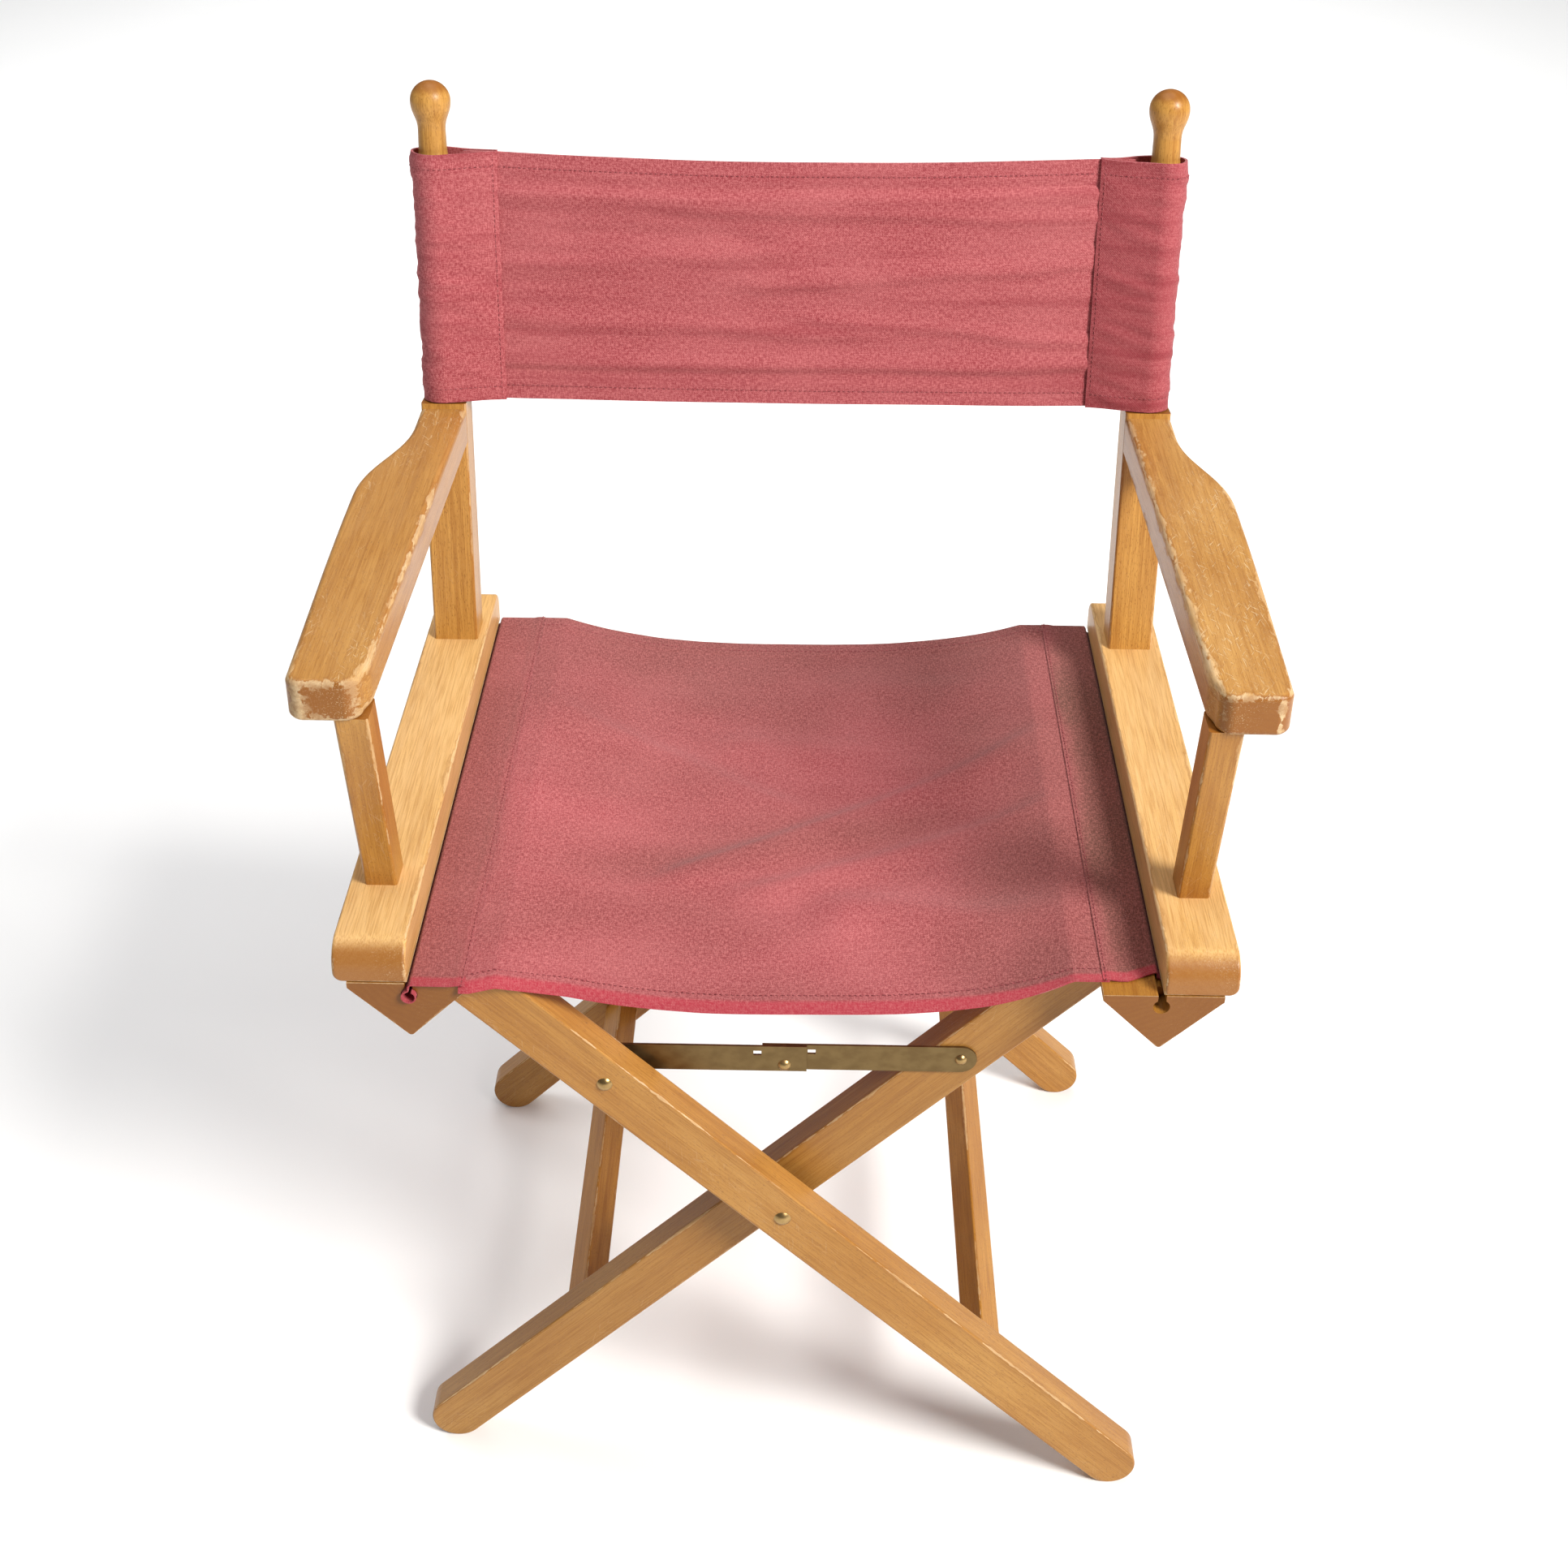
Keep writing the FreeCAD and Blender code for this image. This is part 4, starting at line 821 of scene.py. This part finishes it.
def build_seat_panel(material):
    """The rows lie closer together in the first fiftieth, where the front hem rolls down."""
    shares = [0.02 * i / 8 for i in range(8)] + [0.02 + 0.98 * i / 184 for i in range(185)]
    rows = [[seat_point(-PANEL_OUT + 2 * PANEL_OUT * j / 190, s) for j in range(191)]
            for s in shares]
    return sheet_mesh("seat_canvas_panel", rows, SEAT_CLOTH, material,
                      hem_swell(SEAT_REAR - SEAT_FRONT, 0.8))


def band_path(step):
    """(x, z) along a side band, from its inner edge on the rail, down the slot, round the dowel."""
    top = SEAT_Z + 0.15 * MM
    flat_end = DOWEL[0] - 1.6 * MM
    points = [(BAND_IN, top + 0.75 * MM), (BAND_IN + 5 * MM, top + 0.7 * MM),
              (BAND_IN + 9 * MM, top), (flat_end, top), (DOWEL[0] - 0.35 * MM, top - 1.3 * MM),
              (DOWEL[0], DOWEL[1] + 4.6 * MM)]
    turns = [math.radians(25 + 310 * k / 14) for k in range(15)]
    points += [(DOWEL[0] + LOOP_R * math.sin(a), DOWEL[1] + LOOP_R * math.cos(a)) for a in turns]
    lengths = [0.0]
    for (ax, az), (bx, bz) in zip(points, points[1:]):
        lengths.append(lengths[-1] + math.hypot(bx - ax, bz - az))
    at = step * lengths[-1]
    for k in range(1, len(points)):
        if at <= lengths[k]:
            share = (at - lengths[k - 1]) / (lengths[k] - lengths[k - 1])
            (ax, az), (bx, bz) = points[k - 1], points[k]
            return ax + (bx - ax) * share, az + (bz - az) * share
    return points[-1]


def band_point(side, step, share):
    """A point of a side band's middle."""
    x, z = band_path(step)
    inward = min(x, DOWEL[0])
    y0, y1 = seat_edge(side * inward, True), seat_edge(side * inward, False)
    if side > 0:
        y0 += BAND_SHY * max(0.0, (inward - 0.205) / 0.019)
    y = y0 + (y1 - y0) * share
    return Vector((side * x, y, z))


def build_band(side, name, material):
    steps = spread(90)[::side]
    rows = [[band_point(side, step, share) for step in steps] for share in spread(120)]
    return sheet_mesh(f"seat_canvas_band_{name}", rows, BAND_CLOTH, material)


# ---- stitches ------------------------------------------------------------------------------
STITCH_SIZES = (("Spacing", 3.4 * MM), ("Stitch length", 2.3 * MM), ("Thickness", 0.7 * MM))
STITCH_WOBBLE = 0.10      # radians, either way
THREAD_DARK = (0.16, 0.018, 0.025, 1)
THREAD_RED = (0.40, 0.10, 0.11, 1)
HEM_STITCHES = (0.056, 0.944)     # shares of the back canvas's height
SEAT_HEM_STITCHES = (0.025, 0.975)


def stitch_tree():
    """Geometry nodes: small rounded threads at an even spacing along a line."""
    tree = bpy.data.node_groups.new("stitch row", "GeometryNodeTree")
    face = tree.interface
    face.new_socket("Line", in_out="INPUT", socket_type="NodeSocketGeometry")
    for name, value in STITCH_SIZES:
        socket = face.new_socket(name, in_out="INPUT", socket_type="NodeSocketFloat")
        socket.default_value = value
    face.new_socket("Unevenness seed", in_out="INPUT", socket_type="NodeSocketInt")
    face.new_socket("Thread", in_out="INPUT", socket_type="NodeSocketMaterial")
    face.new_socket("Stitches", in_out="OUTPUT", socket_type="NodeSocketGeometry")
    new, link = tree.nodes.new, tree.links.new
    given, result = new("NodeGroupInput"), new("NodeGroupOutput")
    curve, points = new("GeometryNodeMeshToCurve"), new("GeometryNodeCurveToPoints")
    points.mode = "LENGTH"
    thread = new("GeometryNodeMeshIcoSphere")
    thread.inputs["Radius"].default_value = 0.5
    thread.inputs["Subdivisions"].default_value = 2
    place, size = new("GeometryNodeInstanceOnPoints"), new("ShaderNodeCombineXYZ")
    wobble, turn = new("FunctionNodeRandomValue"), new("FunctionNodeRotateRotation")
    wobble.data_type = "FLOAT_VECTOR"
    wobble.inputs[0].default_value = (-STITCH_WOBBLE, -STITCH_WOBBLE, 0.0)
    wobble.inputs[1].default_value = (STITCH_WOBBLE, STITCH_WOBBLE, 0.0)
    as_turn = new("FunctionNodeEulerToRotation")
    real, paint = new("GeometryNodeRealizeInstances"), new("GeometryNodeSetMaterial")
    smooth = new("GeometryNodeSetShadeSmooth")
    turn.rotation_space = "LOCAL"
    for start, end in (
            (given.outputs["Line"], curve.inputs[0]),
            (curve.outputs[0], points.inputs[0]),
            (given.outputs["Spacing"], points.inputs["Length"]),
            (points.outputs["Points"], place.inputs["Points"]),
            (thread.outputs["Mesh"], place.inputs["Instance"]),
            (given.outputs["Unevenness seed"], wobble.inputs["Seed"]),
            (wobble.outputs[0], as_turn.inputs[0]),
            (points.outputs["Rotation"], turn.inputs[0]),
            (as_turn.outputs[0], turn.inputs[1]),
            (turn.outputs[0], place.inputs["Rotation"]),
            (given.outputs["Thickness"], size.inputs[0]),
            (given.outputs["Thickness"], size.inputs[1]),
            (given.outputs["Stitch length"], size.inputs[2]),
            (size.outputs[0], place.inputs["Scale"]),
            (place.outputs[0], real.inputs[0]),
            (real.outputs[0], smooth.inputs[0]),
            (smooth.outputs[0], paint.inputs[0]),
            (given.outputs["Thread"], paint.inputs["Material"]),
            (paint.outputs[0], result.inputs[0])):
        link(start, end)
    return tree


def thread_material():
    f = Finish("sewing thread")
    place = f.add("ShaderNodeTexCoord").outputs["Object"]
    shade = f.mottle(place, (900, 900, 900), 2, 2)
    colour = f.mix(f.fade(shade, 0.3, 0.7), THREAD_DARK, THREAD_RED)
    return f.done(colour, 0.8, f.relief(shade, 0.05 * MM))


def stitch_rows(name, lines, tree, thread):
    """One mesh of stitches along several lines, each a list of points."""
    verts, edges = [], []
    for line in lines:
        start = len(verts)
        verts += line
        edges += [(start + k, start + k + 1) for k in range(len(line) - 1)]
    path = bpy.data.meshes.new(name + " line")
    path.from_pydata(verts, edges, [])
    guide = bpy.data.objects.new(name + " line", path)
    bpy.context.scene.collection.objects.link(guide)
    sewing = guide.modifiers.new("stitches", "NODES")
    sewing.node_group = tree
    sockets = {s.name: s.identifier for s in tree.interface.items_tree if s.in_out == "INPUT"}
    sewing[sockets["Thread"]] = thread
    sewing[sockets["Unevenness seed"]] = 7
    bpy.context.view_layer.update()
    done = guide.evaluated_get(bpy.context.evaluated_depsgraph_get())
    mesh = bpy.data.meshes.new_from_object(done)
    bpy.data.objects.remove(guide)
    mesh.name = name
    piece = bpy.data.objects.new(name, mesh)
    bpy.context.scene.collection.objects.link(piece)
    return piece


def hang_back(tree, thread):
    panel = build_back_panel()
    rows = [[back_panel_point(-SEAM + 2 * SEAM * k / 140, s, 1.3 * MM) for k in range(141)]
            for s in HEM_STITCHES]
    sewn = stitch_rows("back_hem_stitches", rows, tree, thread)
    for piece in (panel, sewn):
        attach(piece, "side_left")
        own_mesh(piece)
    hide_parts("back_canvas")
    for side, name in ((-1, "left"), (1, "right")):
        sleeve = build_sleeve(side, name)
        seam = [sleeve_point(side, 0.022, k / 80, 0.75 * MM) for k in range(1, 80)]
        hems = [[sleeve_point(side, 0.03 + 0.94 * k / 60, s, 1.0 * MM) for k in range(61)]
                for s in HEM_STITCHES]
        sewn = stitch_rows(f"sleeve_stitches_{name}", [seam] + hems, tree, thread)
        for piece in (sleeve, sewn):
            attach(piece, f"side_{name}")
        width = path_length(sleeve_path)


def squash_seat(piece):
    """Fixes a seat piece to the outer frame and gives it a mesh of its own."""
    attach(piece, "outer_frame")
    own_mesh(piece)


def hang_seat(tree, thread):
    panel = build_seat_panel(canvas("seat canvas", dust_and_shade=seat_dust_and_shade, creased=0.08, seed=2.0))
    banding = canvas("seat band canvas", dust_and_shade=seat_dust_and_shade, creased=0.08, seed=3.0)
    lines = [[seat_point((-PANEL_OUT + 4 * MM) * (1 - k / 70), s, 0.95 * MM) for k in range(141)]
             for s in SEAT_HEM_STITCHES]
    sewn = stitch_rows("seat_hem_stitches", lines, tree, thread)
    squash_seat(panel)
    squash_seat(sewn)
    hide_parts("seat_canvas")
    for side, name, body in ((-1, "left", "outer_frame"), (1, "right", "inner_frame")):
        band = build_band(side, name, banding)
        row = [band_point(side, 0.03, share) + Vector((0, 0, 0.6 * MM)) for share in spread(90)]
        sewn = stitch_rows(f"seat_side_stitches_{name}", [row], tree, thread)
        for piece in (band, sewn):
            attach(piece, body)
        width = path_length(band_path)


# ---- floor, lights and camera --------------------------------------------------------------
FLOOR_REACH = 6
FLOOR_GREYS = (0.93, 0.93, 0.93, 1), (0.96, 0.96, 0.96, 1)
CAMERA_PITCH, CAMERA_YAW, CAMERA_ROLL = (math.radians(a) for a in (30.2, -0.7, 0.5))
CAMERA_LENS = 48.97
CAMERA_SENSOR = 36
CAMERA_SHIFT = (0.0022, -0.1118)
CAMERA_PLACE = (0.0075, -0.980, 1.281)    # the middle number is measured from the boards' fronts


def stage_floor():
    mesh = bpy.data.meshes.new("studio floor")
    far = FLOOR_REACH
    mesh.from_pydata([(-far, -far, 0), (far, -far, 0), (far, far, 0), (-far, far, 0)], [],
                     [(0, 1, 2, 3)])
    f = Finish("pale floor")
    place = f.add("ShaderNodeTexCoord").outputs["Object"]
    cloud = f.mottle(place, (3, 3, 3), 0, 2)
    mesh.materials.append(f.done(f.mix(cloud, *FLOOR_GREYS), 0.9))
    floor = bpy.data.objects.new("studio_floor", mesh)
    bpy.context.scene.collection.objects.link(floor)


def soft_light(name, place, size, power, colour=(1, 1, 1), aim=(0, 0, 0.45), glossy=True):
    """A round soft lamp that faces a place. Without glossy it makes no reflections."""
    lamp = bpy.data.lights.new(name, "AREA")
    lamp.shape, lamp.size, lamp.energy, lamp.color = "DISK", size, power, colour
    lamp_object = bpy.data.objects.new(name, lamp)
    lamp_object.location = place
    lamp_object.visible_glossy = glossy
    beam = Vector(aim) - Vector(place)
    lamp_object.rotation_euler = beam.to_track_quat("-Z", "Y").to_euler()
    bpy.context.scene.collection.objects.link(lamp_object)


def light_the_studio():
    soft_light("window light", (2.64, -2.3, 3.25), 1.6, 285, (1.0, 0.98, 0.94))
    soft_light("ceiling light", (-0.1, 0.5, 3.2), 2.4, 26)
    soft_light("backdrop light", (0, 3.4, 2.6), 3.4, 78, aim=(0, 3.6, 0), glossy=False)
    soft_light("left backdrop light", (-2.2, 0.9, 2.4), 1.6, 30, aim=(-2.6, 0.9, 0), glossy=False)
    world = bpy.data.worlds.new("studio")
    world.use_nodes = True
    backdrop = world.node_tree.nodes["Background"]
    backdrop.inputs["Color"].default_value = (0.97, 0.98, 1, 1)
    backdrop.inputs["Strength"].default_value = 0.17
    bpy.context.scene.world = world
    bpy.context.scene.view_settings.view_transform = "Standard"


def set_camera():
    """Camera at eye height in front of the chair, looking down at the seat."""
    pitch, yaw, roll = CAMERA_PITCH, CAMERA_YAW, CAMERA_ROLL
    level = math.cos(pitch)
    ahead = Vector((math.sin(yaw) * level, math.cos(yaw) * level, -math.sin(pitch)))
    right = Vector((math.cos(yaw), -math.sin(yaw), 0))
    up = right.cross(ahead)
    turned_right = math.cos(roll) * right + math.sin(roll) * up
    turned_up = math.cos(roll) * up - math.sin(roll) * right
    lens = bpy.data.cameras.new("camera")
    lens.sensor_width, lens.lens = CAMERA_SENSOR, CAMERA_LENS
    lens.shift_x, lens.shift_y = CAMERA_SHIFT
    camera = bpy.data.objects.new("camera", lens)
    turn = Matrix((turned_right, turned_up, -ahead)).transposed()
    place = Vector((CAMERA_PLACE[0], FRONT + CAMERA_PLACE[1], CAMERA_PLACE[2]))
    camera.matrix_world = Matrix.Translation(place) @ turn.to_4x4()
    bpy.context.scene.collection.objects.link(camera)
    bpy.context.scene.camera = camera


finish_woodwork()
finish_metalwork()
sewing_tree = stitch_tree()
red_thread = thread_material()
hang_back(sewing_tree, red_thread)
hang_seat(sewing_tree, red_thread)
stage_floor()
light_the_studio()
set_camera()

bpy.context.view_layer.update()
